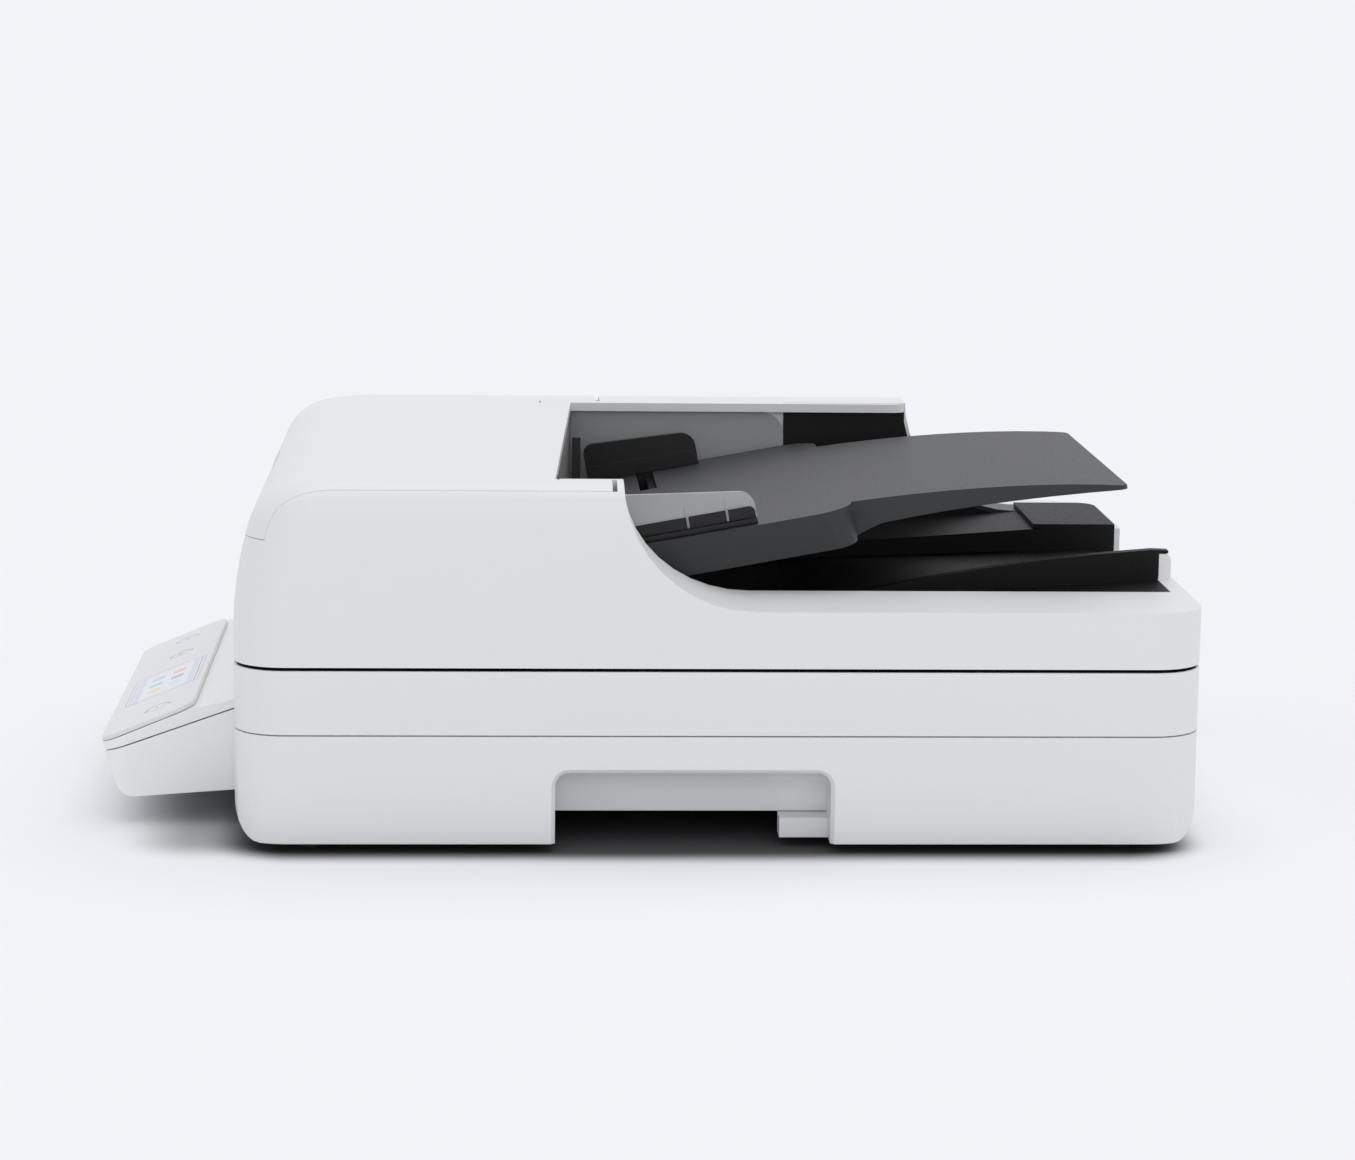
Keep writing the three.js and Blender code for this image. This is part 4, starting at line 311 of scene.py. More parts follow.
def clear(name, colour, roughness, index, through=1):
    material, tree, shader, place = blank_finish(name)
    haze = noise(tree, place, size=0.02, detail=3)
    feed(tree, spread(tree, haze, roughness, roughness + haze_range), shader.inputs["Roughness"])
    feed(tree, colour, shader.inputs["Base Color"])
    feed(tree, through, shader.inputs["Transmission Weight"])
    feed(tree, index, shader.inputs["IOR"])
    return material


def glow(material, colour, strength):
    feed(material.node_tree, colour, shader_of(material).inputs["Emission Color"])
    feed(material.node_tree, strength, shader_of(material).inputs["Emission Strength"])


light_rod = clear("light_rod", light_white, roughness=0.15, index=acrylic_index)
glow(light_rod, light_white, light_glow)
finish(light_rod, "light_bar")

# Electronics at the rear: a green laminate board with soldered parts, and a rear plate of black plastic
# with a square USB socket, a network socket and a round power jack in it.
lacquer_green = (0.012, 0.12, 0.045)
copper_green = (0.03, 0.22, 0.07)
chip_black = (0.015, 0.015, 0.016)
port_black = (0.02, 0.02, 0.021)
board_thick = 0.0019


def laminate(name, lacquer, track):
    material, tree, shader, place = blank_finish(name)
    lines = tree.nodes.new("ShaderNodeTexBrick")
    feed(tree, 260, lines.inputs["Scale"])
    feed(tree, 0.06, lines.inputs["Mortar Size"])
    feed(tree, lacquer, lines.inputs["Color1"])
    feed(tree, lacquer, lines.inputs["Color2"])
    feed(tree, track, lines.inputs["Mortar"])
    tree.links.new(place, lines.inputs["Vector"])
    tree.links.new(lines.outputs["Color"], shader.inputs["Base Color"])
    feed(tree, 0.3, shader.inputs["Roughness"])
    relief(tree, shader, lines.outputs["Fac"], depth=0.00005)
    return material


board_low, board_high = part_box("main_board")
parts_box = (Vector((board_low.x, board_low.y, board_low.z + board_thick)), board_high)
bare_board = laminate("bare_board", lacquer_green, copper_green)
finish(lined(bare_board, "board_with_parts", chip_black, [parts_box]), "main_board")
port_plastic = moulded(
    "port_plastic", port_black, grain=0.0004, depth=0.00002, roughness=(0.4, 0.55), drift=0.1)
finish(port_plastic, "port_panel", "dc_jack")
finish(plated_can, "usb_socket", "lan_socket")
soften("port_panel", "usb_socket", "lan_socket", "dc_jack", edge=0.0002)

# Upper casing: a white frame that snaps over the tub. The two panes held under its deck are float glass of
# about 3 mm, faintly green at the edge.
pane_tint = (0.90, 0.97, 0.95)
glass_index = 1.52
finish(white_shell, "base_frame")
soften("base_frame", edge=shell_edge)
float_glass = clear("float_glass", pane_tint, roughness=0, index=glass_index)
finish(float_glass, "platen_glass", "feeder_glass")

# Rim seal: a ring of thin black felt glued round the deck, with a bead along the front and the sides,
# which keeps light out of the gap under the lid. The black of the ring and the beads is painted shade: it
# stands in for the shade in that gap, where the white deck would show. It stops short at the two hinge
# posts and narrows behind the glass.
seal_inset = 0.0014
seal_wide = 0.0125
seal_rear = 0.0032
seal_corner = 0.0226
seal_thick = 0.00025
hinge_clear = 0.138
between_hinges = 0.112
bead_inset = 0.0105
bead_wide = 0.0022
bead_high = 0.0019
bead_clear = 0.0220
bead_corner = bead_wide / 2.2
# Painted shade: this black colours the felt that darkens the gap under the lid.
seal_painted_shade = (0.008, 0.008, 0.008)
fibre_pale = 2
merge_digits = 7


def flat_piece(name, loops, place, up, thick, material, body):
    layer = bmesh.new()
    under, over, rims = {}, {}, {}
    for loop in loops:
        corners = [(round(across, merge_digits), round(along, merge_digits)) for across, along in loop]
        for corner, point in zip(corners, loop):
            if corner not in under:
                under[corner] = layer.verts.new(place(*point))
                over[corner] = layer.verts.new(place(*point) + up * thick)
        layer.faces.new([under[corner] for corner in corners])
        layer.faces.new([over[corner] for corner in corners])
        for edge in zip(corners, corners[1:] + corners[:1]):
            rims.setdefault(tuple(sorted(edge)), []).append(edge)
    for (start, end), *shared in rims.values():
        if not shared:
            layer.faces.new([under[start], under[end], over[end], over[start]])
    bmesh.ops.recalc_face_normals(layer, faces=layer.faces[:])
    mesh = bpy.data.meshes.new(name)
    layer.to_mesh(mesh)
    layer.free()
    mesh.materials.append(material)
    piece = put_in_scene(name, mesh)
    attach(piece, body)
    return piece


def bend(x, y, radius, start, end, steps=8):
    turns = [math.radians(start + (end - start) * step / steps) for step in range(steps + 1)]
    return [(x + radius * math.cos(turn), y + radius * math.sin(turn)) for turn in turns]


def rounded(half_x, half_y, radius, x=0.0, y=0.0):
    flat_x, flat_y = half_x - radius, half_y - radius
    corners = ((1, 1, 0), (-1, 1, 90), (-1, -1, 180), (1, -1, 270))
    return [point for right, back, turn in corners
            for point in bend(x + right * flat_x, y + back * flat_y, radius, turn, turn + 90, steps=4)]


def felt(name, colour):
    material, tree, shader, place = blank_finish(name)
    fibre = noise(tree, place, size=0.0004, detail=4, roughness=0.7)
    feed(tree, tinted(tree, fibre, colour, times(colour, fibre_pale)), shader.inputs["Base Color"])
    feed(tree, 1, shader.inputs["Roughness"])
    feed(tree, 0.1, shader.inputs["Specular IOR Level"])
    relief(tree, shader, fibre, depth=0.0001)
    return material


deck_low, deck_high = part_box("base_frame")
side = deck_high.x - seal_inset
front = deck_low.y + seal_inset
rear = deck_high.y - seal_inset


def on_deck(across, along):
    return Vector((across, along, deck_high.z))


ring_side = side - seal_corner
front_turn = front + seal_corner
rear_turn = rear - seal_corner
outer = [(hinge_clear, rear), *bend(ring_side, rear_turn, seal_corner, 90, 0)]
outer += bend(ring_side, front_turn, seal_corner, 0, -90)
outer += bend(-ring_side, front_turn, seal_corner, -90, -180)
outer += [*bend(-ring_side, rear_turn, seal_corner, 180, 90), (-hinge_clear, rear)]
inner_side = side - seal_wide
inner_corner = seal_corner - seal_wide
inner_turn = inner_side - inner_corner
inner = [(-hinge_clear, rear - seal_rear), (-inner_side, rear_turn)]
inner += bend(-inner_turn, front_turn, inner_corner, -180, -90)
inner += bend(inner_turn, front_turn, inner_corner, -90, 0)
inner += [(inner_side, rear_turn), (hinge_clear, rear - seal_rear)]
rear_strip = [(-between_hinges, rear), (between_hinges, rear)]
rear_strip += [(between_hinges, rear - seal_rear), (-between_hinges, rear - seal_rear)]
up = Vector((0, 0, 1))
felt_painted_shade = felt("felt_painted_shade", seal_painted_shade)
seal = [outer + inner, rear_strip]
flat_piece("rim_seal_painted_shade", seal, on_deck, up, seal_thick, felt_painted_shade, "base")
bead_across = side - bead_inset + bead_wide / 2
bead_half = (rear - front) / 2 - bead_clear
for name, x in (("bead_right", bead_across), ("bead_left", -bead_across)):
    bead = rounded(bead_wide / 2, bead_half, bead_corner, x, (front + rear) / 2)
    flat_piece(name, [bead], on_deck, up, bead_high, felt_painted_shade, "base")
front_bead = rounded(side - bead_clear, bead_wide / 2, bead_corner, 0, front + bead_inset)
flat_piece("bead_front", [front_bead], on_deck, up, bead_high, felt_painted_shade, "base")

# Size marks: fine grey ticks printed on the deck along the left of the large pane, one each centimetre
# and a longer one each five, with an arrow where the corner of an original goes.
tick_wide = 0.0003
tick_short = 0.0018
tick_long = 0.0034
tick_step = 0.010
tick_group = 5
tick_away = 0.0022
arrow_long = 0.006
arrow_half = arrow_long / 3
window_inset = 0.0025
ink_thick = 0.00003
ink_grain = 0.0003
ink_depth = 0.000005
ink_grey = (0.22, 0.22, 0.23)


def ink(name, colour, roughness=(0.5, 0.6), drift=0.1):
    return moulded(name, colour, ink_grain, ink_depth, roughness, drift)


pane_low, pane_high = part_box("platen_glass")
left_edge = pane_low.x + window_inset
front_edge = pane_low.y + window_inset
tip = left_edge - tick_away
ticks = []
for step in range(1, int((pane_high.y - front_edge) / tick_step)):
    start = tip - (tick_short if step % tick_group else tick_long)
    low = front_edge + step * tick_step - tick_wide / 2
    high = low + tick_wide
    ticks.append([(start, low), (tip, low), (tip, high), (start, high)])
arrow_back = tip - arrow_long
arrow_left, arrow_right = front_edge + arrow_half, front_edge - arrow_half
ticks.append([(tip, front_edge), (arrow_back, arrow_left), (arrow_back, arrow_right)])
grey_ink = ink("grey_ink", ink_grey)
flat_piece("size_marks", ticks, on_deck, up, ink_thick, grey_ink, "base")

# Control panel: a housing and cover with a thin seam between them, coloured a lighter white than the casing
# as painted light, and a separate face plate with a pearly grey lacquer. The screen is a lit glass pane;
# two keys are printed and the third is lit from inside.
# Painted light: a lighter white than the casing's, standing in for the light on the housing and cover.
housing_white_painted_light = (0.870, 0.872, 0.876)
face_grey = (0.765, 0.767, 0.777)
screen_white = (0.74, 0.77, 0.80)
screen_glow = 0.04
glass_roughness = 0.2
key_blue = (0.70, 0.73, 0.88)
key_glow = 0.08
key_roughness = 0.35
pane_shade = 0.93
housing_painted_light = moulded(
    "housing_white_painted_light", housing_white_painted_light, shell_grain, shell_depth, shell_roughness, shell_drift)
face_lacquer = moulded(
    "face_lacquer", face_grey, grain=0.0005, depth=0.00001, roughness=(0.28, 0.36), drift=0.015)
finish(housing_painted_light, "panel_housing", "panel_cover")
finish(face_lacquer, "panel_face", "key_right", "key_left")
soften("panel_housing", "panel_cover", edge=0.0005)
soften("panel_face", "key_right", "key_left", "key_start", edge=0.0002)


def lit(name, colour, strength, roughness):
    material, tree, shader, place = blank_finish(name)
    cloud = noise(tree, place, size=0.02, detail=2)
    feed(tree, tinted(tree, cloud, times(colour, pane_shade), colour), shader.inputs["Base Color"])
    feed(tree, roughness, shader.inputs["Roughness"])
    glow(material, colour, strength)
    return material


finish(lit("lit_screen", screen_white, screen_glow, glass_roughness), "touch_display")
finish(lit("lit_key_blue", key_blue, key_glow, key_roughness), "key_start")

# Prints of the panel: a hair line round the screen, a ring and a plain sign on each key, and on the
# screen a grid of coloured tiles between two bars. Each is a flat layer a few hundredths of a millimetre
# thick.
line_wide = 0.0003
ring_radius = 0.0053
ring_points = 36
sign_half = 0.0016
sign_bar = 0.0004
dash_end = sign_bar * 0.9
frame_away = 0.0024
frame_corner = 0.002
print_grey = (0.46, 0.47, 0.49)
key_joint = next(joint for joint in frame["joints"] if joint["name"] == "key_right_press")
press = Vector(key_joint["axis"]).normalized()
face_up = -press
slope = Vector((1, 0, 0)).cross(press)


def reach(name, direction):
    heights = [vertex.co.dot(direction) for vertex in nodes[name].data.vertices]
    return min(heights), max(heights)


def placed_on(name):
    low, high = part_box(name)
    middle = (low + high) / 2
    height = reach(name, face_up)[1]

    def place(across, along):
        return Vector((middle.x + across, 0, 0)) + slope * (middle.dot(slope) + along) + face_up * height

    return place


def ring_of(outline_in, outline_out):
    pairs = list(zip(outline_in, outline_out))
    return [[a, b, d, c] for (a, b), (c, d) in zip(pairs, pairs[1:] + pairs[:1])]


def circle(radius, points, x=0.0, y=0.0):
    return bend(x, y, radius, 0, 360 - 360 / points, points - 1)


grey_print = ink("grey_print", print_grey, roughness=(0.4, 0.5), drift=0.05)
key_ring = ring_of(circle(ring_radius - line_wide, ring_points), circle(ring_radius, ring_points))
house = [(-sign_half, -sign_half), (sign_half, -sign_half), (sign_half, 0), (0, sign_half), (-sign_half, 0)]
dash = rounded(sign_half, sign_bar, dash_end)
arrow = [(-sign_half, -sign_half), (sign_half, 0), (-sign_half, sign_half)]
for key, sign in (("key_left", house), ("key_right", dash), ("key_start", arrow)):
    print_name = f"{key}_print"
    on_key = placed_on(key)
    flat_piece(print_name, [*key_ring, sign], on_key, face_up, ink_thick, grey_print, key)
screen_low, screen_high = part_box("touch_display")
screen_half = (screen_high.x - screen_low.x) / 2
screen_fall, screen_rise = reach("touch_display", slope)
screen_deep = (screen_rise - screen_fall) / 2
face_step = reach("panel_face", face_up)[1] - reach("touch_display", face_up)[1]
away = rounded(screen_half + frame_away, screen_deep + frame_away, frame_corner)
closer = rounded(screen_half + frame_away - line_wide, screen_deep + frame_away - line_wide, frame_corner)
on_screen = placed_on("touch_display")


def on_face(across, along):
    return on_screen(across, along) + face_up * face_step


screen_ring = ring_of(closer, away)
flat_piece("screen_line", screen_ring, on_face, face_up, ink_thick, grey_print, "base")
tile_half = 0.0034
tile_corner = 0.0012
tile_step = 0.0150
row_step = 0.0115
tile_glow = 0.1
tile_tints = {"sky": (0.30, 0.55, 0.74), "leaf": (0.25, 0.58, 0.45), "amber": (0.86, 0.52, 0.22),
              "coral": (0.80, 0.36, 0.26), "slate": (0.33, 0.37, 0.46), "mint": (0.45, 0.72, 0.66)}
for number, (tint, colour) in enumerate(tile_tints.items()):
    column, row = number % 3 - 1, number // 3 - 0.5
    tile = rounded(tile_half, tile_half, tile_corner, column * tile_step, row * row_step)
    tile_pane = lit(f"tile_{tint}", colour, tile_glow, glass_roughness)
    flat_piece(f"screen_tile_{tint}", [tile], on_screen, face_up, ink_thick, tile_pane, "base")
bar_share = 0.96
bar_high = 0.0034
bar_corner = bar_high * 0.3
bar_inset = bar_high * 0.75
bar_half = screen_half * bar_share
bar_along = screen_deep - bar_inset
bar_blue = (0.52, 0.58, 0.72)
bar_glow = 0.08
bars = [rounded(bar_half, bar_high / 2, bar_corner, 0, along) for along in (-bar_along, bar_along)]
bar_pane = lit("bar_glow", bar_blue, bar_glow, glass_roughness)
flat_piece("screen_bars", bars, on_screen, face_up, ink_thick, bar_pane, "base")

# Hinges: two posts of black glass-filled nylon that slide up and down in sockets of the casing. A steel pin
# pushed through the knuckles of each joins it to the lid.
hinge_grey = (0.045, 0.046, 0.048)
hinge_nylon = moulded(
    "hinge_nylon", hinge_grey, grain=0.0007, depth=0.00003, roughness=(0.45, 0.6), drift=0.1)
finish(hinge_nylon, "hinge_right", "hinge_left")
finish(ground_steel, "hinge_pin_right", "hinge_pin_left")
soften("hinge_right", "hinge_left", edge=0.0003)

# Underside of the lid: a white plate. The document pad below it is white foil on soft foam, and the
# backing bar has the same white foil where it faces the small pane.
pad_white = (0.80, 0.80, 0.79)
pad_foil = moulded("pad_foil", pad_white, grain=0.0022, depth=0.00006, roughness=(0.5, 0.62), drift=0.02)
finish(white_shell, "lid_underside")
soften("lid_underside", edge=0.0003)
finish(pad_foil, "document_pad", "backing_bar")

# Screws of the underside: six flat heads of zinc-plated steel, each with a cross slot painted dark on the
# head as painted shade of the slot.
# They hold the plate to the bosses of the lid.
screw_radius = 0.0031
screw_points = 24
screw_thick = 0.0004
slot_long = 0.0019
slot_wide = 0.0004
slot_end = slot_wide * 0.9
slot_proud = 0.00003
slot_thick = screw_thick + slot_proud
# Painted shade: the dark colour of the cross slots stands in for the shade inside them.
slot_painted_shade = (0.03, 0.03, 0.03)
screw_across = 0.147
screw_along = (-0.150, 0.020, 0.205)
plate_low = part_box("lid_underside")[0].z


def on_plate(across, along):
    return Vector((across, along, plate_low))


heads = []
slots = []
for x in (-screw_across, screw_across):
    for y in screw_along:
        heads.append(circle(screw_radius, screw_points, x, y))
        slots.append(rounded(slot_long, slot_wide, slot_end, x, y))
        slots.append(rounded(slot_wide, slot_long, slot_end, x, y))
down = Vector((0, 0, -1))
screws = flat_piece("underside_screws", heads, on_plate, down, screw_thick, plated_can, "lid")
rim = screws.modifiers.new("rim", "BEVEL")
rim.width = screw_thick / 2
rim.segments = edge_rings
painted_slot_shade = ink("painted_slot_shade", slot_painted_shade)
flat_piece("screw_slots", slots, on_plate, down, slot_thick, painted_slot_shade, "lid")

# Feeder works: a black chassis with the feed path in it, a motor at the left, and shafts that carry rubber
# sleeves. The shafts are steel, and the gears and belt wheels on their ends are acetal.
chassis_black = (0.020, 0.020, 0.022)
sleeve_grey = (0.10, 0.10, 0.105)
sleeve_bloom = 1.3
wheel_shade = 0.94
arm_grey = (0.06, 0.06, 0.062)
shaft_radii = {"turn_roller": 0.004, "feed_roller": 0.004, "exit_roller": 0.004,
               "separation_roller": 0.002, "pick_roller": 0.002}
shaft_skin = 0.0002
sleeve_ends = 0.1145
feeder_plastic = moulded(
    "feeder_plastic", chassis_black, grain=0.0006, depth=0.00003, roughness=(0.4, 0.55), drift=0.15)
finish(feeder_plastic, "feeder_chassis")
soften("feeder_chassis", edge=0.0003)
finish(plated_can, "feeder_motor")
finish(black_rubber, "exit_belt")
finish(white_acetal, "motor_pinion", "pinch_roller")


def sleeved(name, axis, shaft):
    material, tree, shader, place = blank_finish(name)
    split = tree.nodes.new("ShaderNodeSeparateXYZ")
    tree.links.new(place, split.inputs["Vector"])
    across = tree.nodes.new("ShaderNodeCombineXYZ")
    tree.links.new(split.outputs["Y"], across.inputs["Y"])
    tree.links.new(split.outputs["Z"], across.inputs["Z"])
    middle = (0, axis.y, axis.z)
    away = reckoned(tree, "DISTANCE", across.outputs["Vector"], middle, kind="ShaderNodeVectorMath")
    on_sleeve = reckoned(tree, "GREATER_THAN", away, shaft + shaft_skin)
    on_shaft = reckoned(tree, "LESS_THAN", away, shaft + shaft_skin)
    on_wheel = reckoned(tree, "GREATER_THAN", reckoned(tree, "ABSOLUTE", split.outputs["X"]), sleeve_ends)
    speck = noise(tree, place, size=0.0008, detail=3)
    steel = tinted(tree, speck, steel_worn, steel_bright)
    rubber = tinted(tree, speck, sleeve_grey, times(sleeve_grey, sleeve_bloom))
    wheel = tinted(tree, speck, times(acetal_white, wheel_shade), acetal_white)
    body = tinted(tree, on_sleeve, steel, rubber)
    feed(tree, tinted(tree, on_wheel, body, wheel), shader.inputs["Base Color"])
    feed(tree, on_shaft, shader.inputs["Metallic"])
    feed(tree, spread(tree, on_shaft, low=0.75, high=0.3, start=0, end=1), shader.inputs["Roughness"])
    relief(tree, shader, speck, depth=0.00003)
    return material


for roller, shaft in shaft_radii.items():
    roller_low, roller_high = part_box(roller)
    finish(sleeved(f"{roller}_finish", (roller_low + roller_high) / 2, shaft), roller)
arm_plastic = moulded("arm_plastic", arm_grey, grain=0.0006, depth=0.00002, roughness=(0.4, 0.5), drift=0.1)
finish(arm_plastic, "pick_arm")
soften("pick_arm", edge=0.0003)

# Output tray: a black insert with one raised ridge and a broad flange at the left, grained like fine
# leather so that originals slide off it. A grey liner covers the inside of the tall left wall.
tray_black = (0.0085, 0.0085, 0.009)
liner_grey = (0.33, 0.335, 0.34)
sliding_plastic = moulded(
    "sliding_plastic", tray_black, grain=0.0009, depth=0.00004, roughness=(0.42, 0.58),
    drift=0.15, specular=0.14)
finish(sliding_plastic, "output_tray")
soften("output_tray", edge=0.0004)
liner_plastic = moulded(
    "liner_plastic", liner_grey, grain=0.0006, depth=0.00002, roughness=(0.38, 0.5), drift=0.05)
finish(liner_plastic, "side_liner")

# Lid shell: the large white moulding round the feeder, its rims rolled over by the tool.
# The inner face of the far arm, behind the grey liner, is coloured black, and so is a strip over its top.
liner_low, liner_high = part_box("side_liner")
shell_low, shell_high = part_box("lid_shell")
black_gap = 0.0003
black_face = liner_low.x - black_gap
black_depth = 0.0005
black_over = 0.0240
black_ends = (0.180, 0.2155)
black_rise = (0.110, 0.119)
black_side = (
    (black_face - black_depth, liner_high.y, shell_low.z),
    (black_face + black_depth, shell_high.y, shell_high.z))
black_top = ((black_face - black_over, black_ends[0], black_rise[0]), (black_face, black_ends[1], black_rise[1]))
finish(lined(white_shell, "lid_white", tray_black, [black_side, black_top]), "lid_shell")
soften("lid_shell", edge=0.0006)

# Feeder cover and its latch: the cover is the same white moulding; the latch is one shade greyer and sits
# a millimetre below it, so that a finger finds it.
latch_grey = (0.68, 0.682, 0.69)
latch_plastic = moulded(
    "latch_plastic", latch_grey, grain=0.0004, depth=0.00002, roughness=(0.36, 0.46), drift=0.02)
finish(white_shell, "feeder_cover")
finish(latch_plastic, "cover_latch")
soften("feeder_cover", "cover_latch", edge=0.0005)

# Input tray: a dark grey slab that narrows to a tongue, closed from below by a bottom plate. Edge guides
# stand on it, black bases with ribs, the right one with a smoky clear window. Their racks mesh with a
# pinion under its top.
tray_grey = (0.036, 0.037, 0.038)
guide_black = (0.014, 0.014, 0.015)
window_smoke = (0.78, 0.78, 0.785)
window_clear = 0.68
tray_plastic = moulded(
    "tray_plastic", tray_grey, grain=0.0007, depth=0.00004, roughness=(0.4, 0.52),
    drift=0.08, specular=0.28)
finish(tray_plastic, "input_tray", "tray_bottom")
soften("input_tray", edge=0.0006)
guide_plastic = moulded(
    "guide_plastic", guide_black, grain=0.0005, depth=0.00002, roughness=(0.3, 0.42),
    drift=0.1, specular=0.25)
finish(guide_plastic, "guide_right", "guide_left", "rack_right", "rack_left")
finish(white_acetal, "guide_pinion")
smoky_window = clear(
    "smoky_window", window_smoke, roughness=0.08, index=acrylic_index, through=window_clear)
finish(smoky_window, "guide_window")
soften("guide_right", "guide_left", "guide_window", edge=0.0003)

# Skirt of the right guide: a thin black plate clipped over the lower half of the window, level with the
# guide's base behind it, with its rear top corner rounded.
tray_slope = 10.37
tray_rise = math.radians(tray_slope)
along_tray = Vector((0, math.cos(tray_rise), math.sin(tray_rise)))
above_tray = Vector((0, -math.sin(tray_rise), math.cos(tray_rise)))
skirt_thick = 0.0003
skirt_high = 0.0056
skirt_corner = 0.003
skirt_short = 0.0006
skirt_front = 0.001
skirt_gap = 0.00002
window_plate_from = 0.15
window_points = [vertex.co for vertex in nodes["guide_window"].data.vertices]
plate_points = [point for point in window_points if point.dot(above_tray) > window_plate_from]
window_face = max(point.x for point in plate_points) + skirt_gap
window_low = reach("guide_window", above_tray)[0]
window_front, window_back = reach("guide_window", along_tray)


def on_window(across, along):
    return Vector((window_face, 0, 0)) + along_tray * across + above_tray * along


skirt_start = window_front + skirt_front
skirt_end = window_back - skirt_short
skirt_top = window_low + skirt_high
skirt = [(skirt_start, window_low), (skirt_end, window_low)]
skirt += bend(skirt_end - skirt_corner, skirt_top - skirt_corner, skirt_corner, 0, 90, steps=5)
skirt += [(skirt_start, skirt_top)]
outward = Vector((1, 0, 0))
flat_piece(
    "guide_skirt", [skirt], on_window, outward, skirt_thick, guide_plastic, "right_guide")

# Width marks of the input tray: short pale lines printed on its top beside the guides,
# one pair for each common width of original.
mark_halves = (0.0525, 0.0740, 0.0915, 0.1050)
mark_wide = 0.0005
mark_front = 0.0500
mark_back = 0.0545
mark_pale = (0.32, 0.32, 0.33)
slab_part = 0.060
tray_points = [vertex.co for vertex in nodes["input_tray"].data.vertices]
tray_top = max(point.dot(above_tray) for point in tray_points if point.dot(along_tray) < slab_part)


def on_tray(across, along):
    return Vector((across, 0, 0)) + along_tray * along + above_tray * tray_top


marks = []
for x in [hand * half for hand in (-1, 1) for half in mark_halves]:
    left, right = x - mark_wide / 2, x + mark_wide / 2
    marks.append([(left, mark_front), (right, mark_front), (right, mark_back), (left, mark_back)])
pale_ink = ink("pale_ink", mark_pale)
flat_piece("page_marks", marks, on_tray, above_tray, ink_thick, pale_ink, "input_tray")

# Studio floor: pale and seamless, without end. It darkens close round the casing and more softly under the
# panel, as their contact shadows do.
floor_half = 60
floor_white = (0.925, 0.932, 0.962)
shade_colour = (0.09, 0.09, 0.093)
shade_start = -0.006
shade_end = 0.025
shade_corner = 0.024
shade_front_inset = 0.006
shade_rear_inset = 0.014
panel_shade_sides = (-0.100, 0.150)
panel_shade_out = 0.016
panel_shade_end = 0.045
panel_shade_least = 0.42
floor_mesh = bpy.data.meshes.new("studio_floor")
corners = [(x * floor_half, y * floor_half, 0) for x, y in ((-1, -1), (1, -1), (1, 1), (-1, 1))]
floor_mesh.from_pydata(corners, [], [(0, 1, 2, 3)])
floor = put_in_scene("studio_floor", floor_mesh)
floor_finish, floor_tree, floor_shader, floor_place = blank_finish("floor_paper")


def clear_of(low, high, corner, start, end, least):
    centre = ((low[0] + high[0]) / 2, (low[1] + high[1]) / 2, 0)
    straight = ((high[0] - low[0]) / 2 - corner, (high[1] - low[1]) / 2 - corner, 0)
    steps = (("SUBTRACT", centre), ("ABSOLUTE",), ("SUBTRACT", straight), ("MAXIMUM", (0, 0, 0)))
    where = floor_place
    for operation, *term in steps:
        where = reckoned(floor_tree, operation, where, *term, kind="ShaderNodeVectorMath", result="Vector")
    distance = reckoned(floor_tree, "LENGTH", where, kind="ShaderNodeVectorMath")
    shade = floor_tree.nodes.new("ShaderNodeMapRange")
    shade.interpolation_type = "SMOOTHERSTEP"
    feed(floor_tree, corner + start, shade.inputs["From Min"])
    feed(floor_tree, corner + end, shade.inputs["From Max"])
    feed(floor_tree, least, shade.inputs["To Min"])
    feed(floor_tree, distance, shade.inputs["Value"])
    return shade.outputs["Result"]


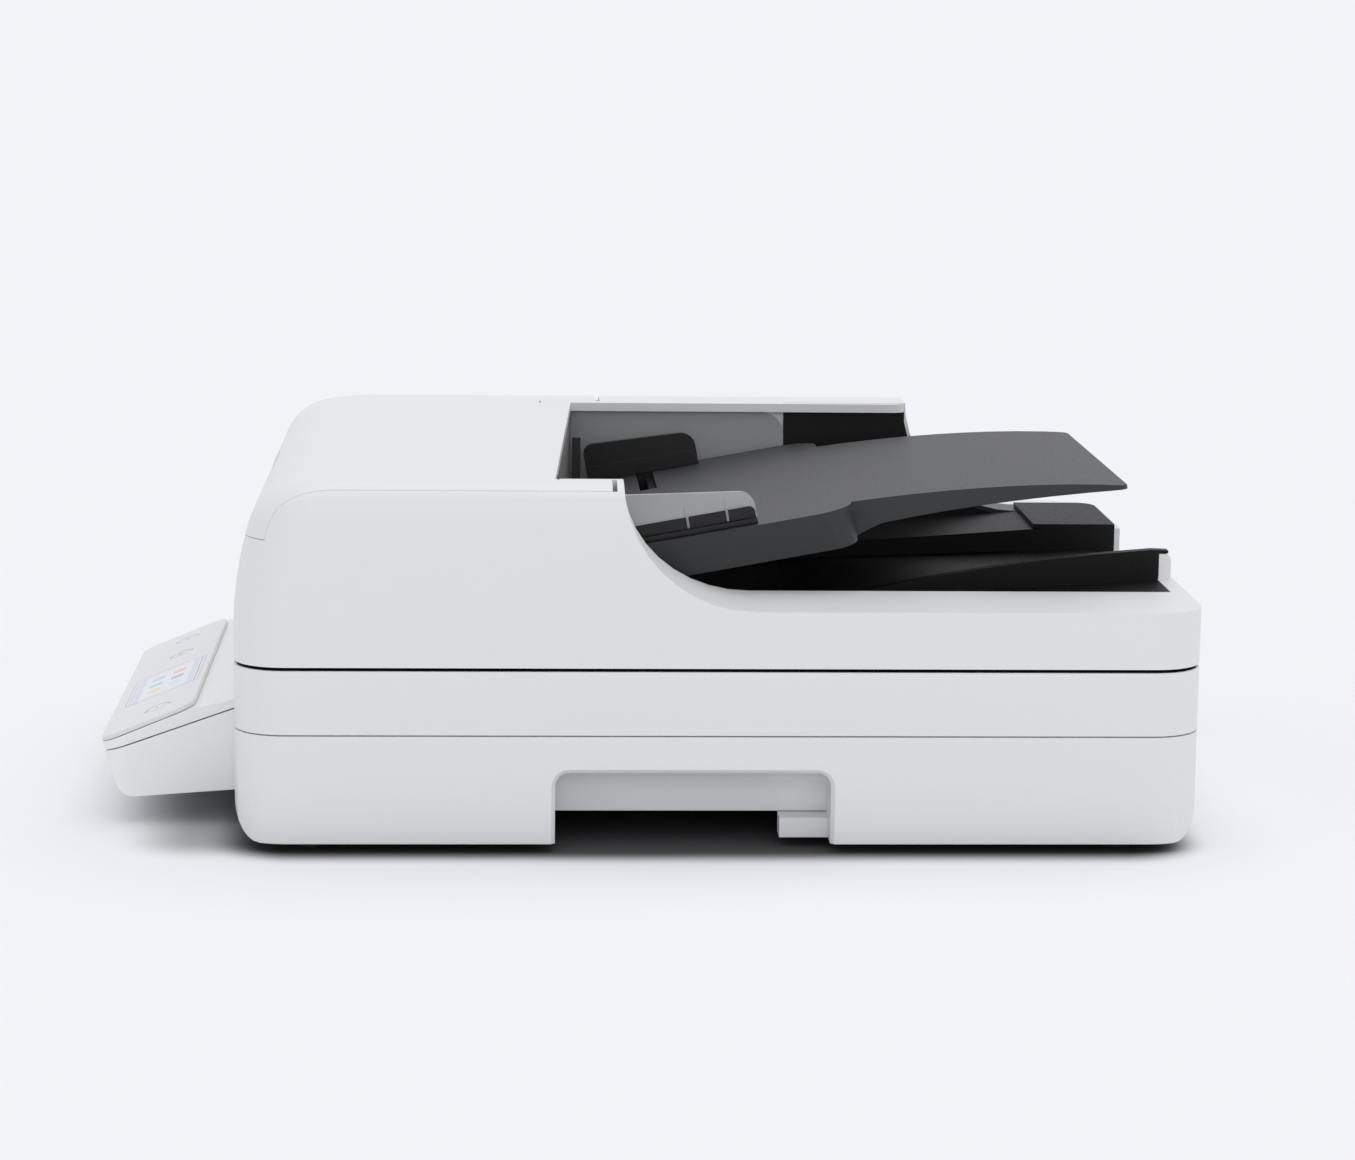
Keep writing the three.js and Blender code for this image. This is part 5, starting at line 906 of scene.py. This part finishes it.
casing_front = (tub_low.x, tub_low.y + shade_front_inset)
casing_rear = (tub_high.x, tub_high.y - shade_rear_inset)
panel_front = (panel_shade_sides[0], tub_low.y - panel_shade_out)
panel_rear = (panel_shade_sides[1], 0)
casing_clear = clear_of(casing_front, casing_rear, shade_corner, shade_start, shade_end, least=0)
panel_clear = clear_of(
    panel_front, panel_rear, corner=0, start=0, end=panel_shade_end, least=panel_shade_least)
both_clear = reckoned(floor_tree, "MULTIPLY", casing_clear, panel_clear)
floor_tint = tinted(floor_tree, both_clear, shade_colour, floor_white)
feed(floor_tree, floor_tint, floor_shader.inputs["Base Color"])
feed(floor_tree, 1, floor_shader.inputs["Roughness"])
feed(floor_tree, 0, floor_shader.inputs["Specular IOR Level"])
floor_mesh.materials.append(floor_finish)

# Studio light: an even sky, which is seen as a pale backdrop, one broad soft light from above and a little
# behind, and a low reflector card beside the camera.
sky_light = (0.97, 0.98, 1)
sky_strength = 0.70
sky_white = (0.905, 0.913, 0.956)
sun_strength = 0.84
sun_angle = 70
sun_turn = (-9, -7, 0)
card_strength = 0.26
card_angle = 25
card_turn = (0, 78, 0)
world = bpy.data.worlds.new("studio_sky")
bpy.context.scene.world = world
world.use_nodes = True
sky = world.node_tree
light_sky = sky.nodes["Background"]
feed(sky, sky_light, light_sky.inputs["Color"])
feed(sky, sky_strength, light_sky.inputs["Strength"])
seen_sky = sky.nodes.new("ShaderNodeBackground")
feed(sky, sky_white, seen_sky.inputs["Color"])
ray = sky.nodes.new("ShaderNodeLightPath")
seen = reckoned(sky, "MAXIMUM", ray.outputs["Is Camera Ray"], ray.outputs["Is Transmission Ray"])
seen_or_mirrored = reckoned(sky, "MAXIMUM", seen, ray.outputs["Is Glossy Ray"])
chosen_sky = sky.nodes.new("ShaderNodeMixShader")
sky.links.new(seen_or_mirrored, chosen_sky.inputs["Fac"])
sky.links.new(light_sky.outputs["Background"], chosen_sky.inputs[1])
sky.links.new(seen_sky.outputs["Background"], chosen_sky.inputs[2])
sky.links.new(chosen_sky.outputs["Shader"], sky.nodes["World Output"].inputs["Surface"])


def distant_light(name, strength, angle, turn):
    light = put_in_scene(name, bpy.data.lights.new(name, "SUN"))
    light.data.energy = strength
    light.data.angle = math.radians(angle)
    light.rotation_euler = turned(turn)


distant_light("softbox", sun_strength, sun_angle, sun_turn)
distant_light("reflector_card", card_strength, card_angle, card_turn)
bpy.context.scene.view_settings.view_transform = "Standard"
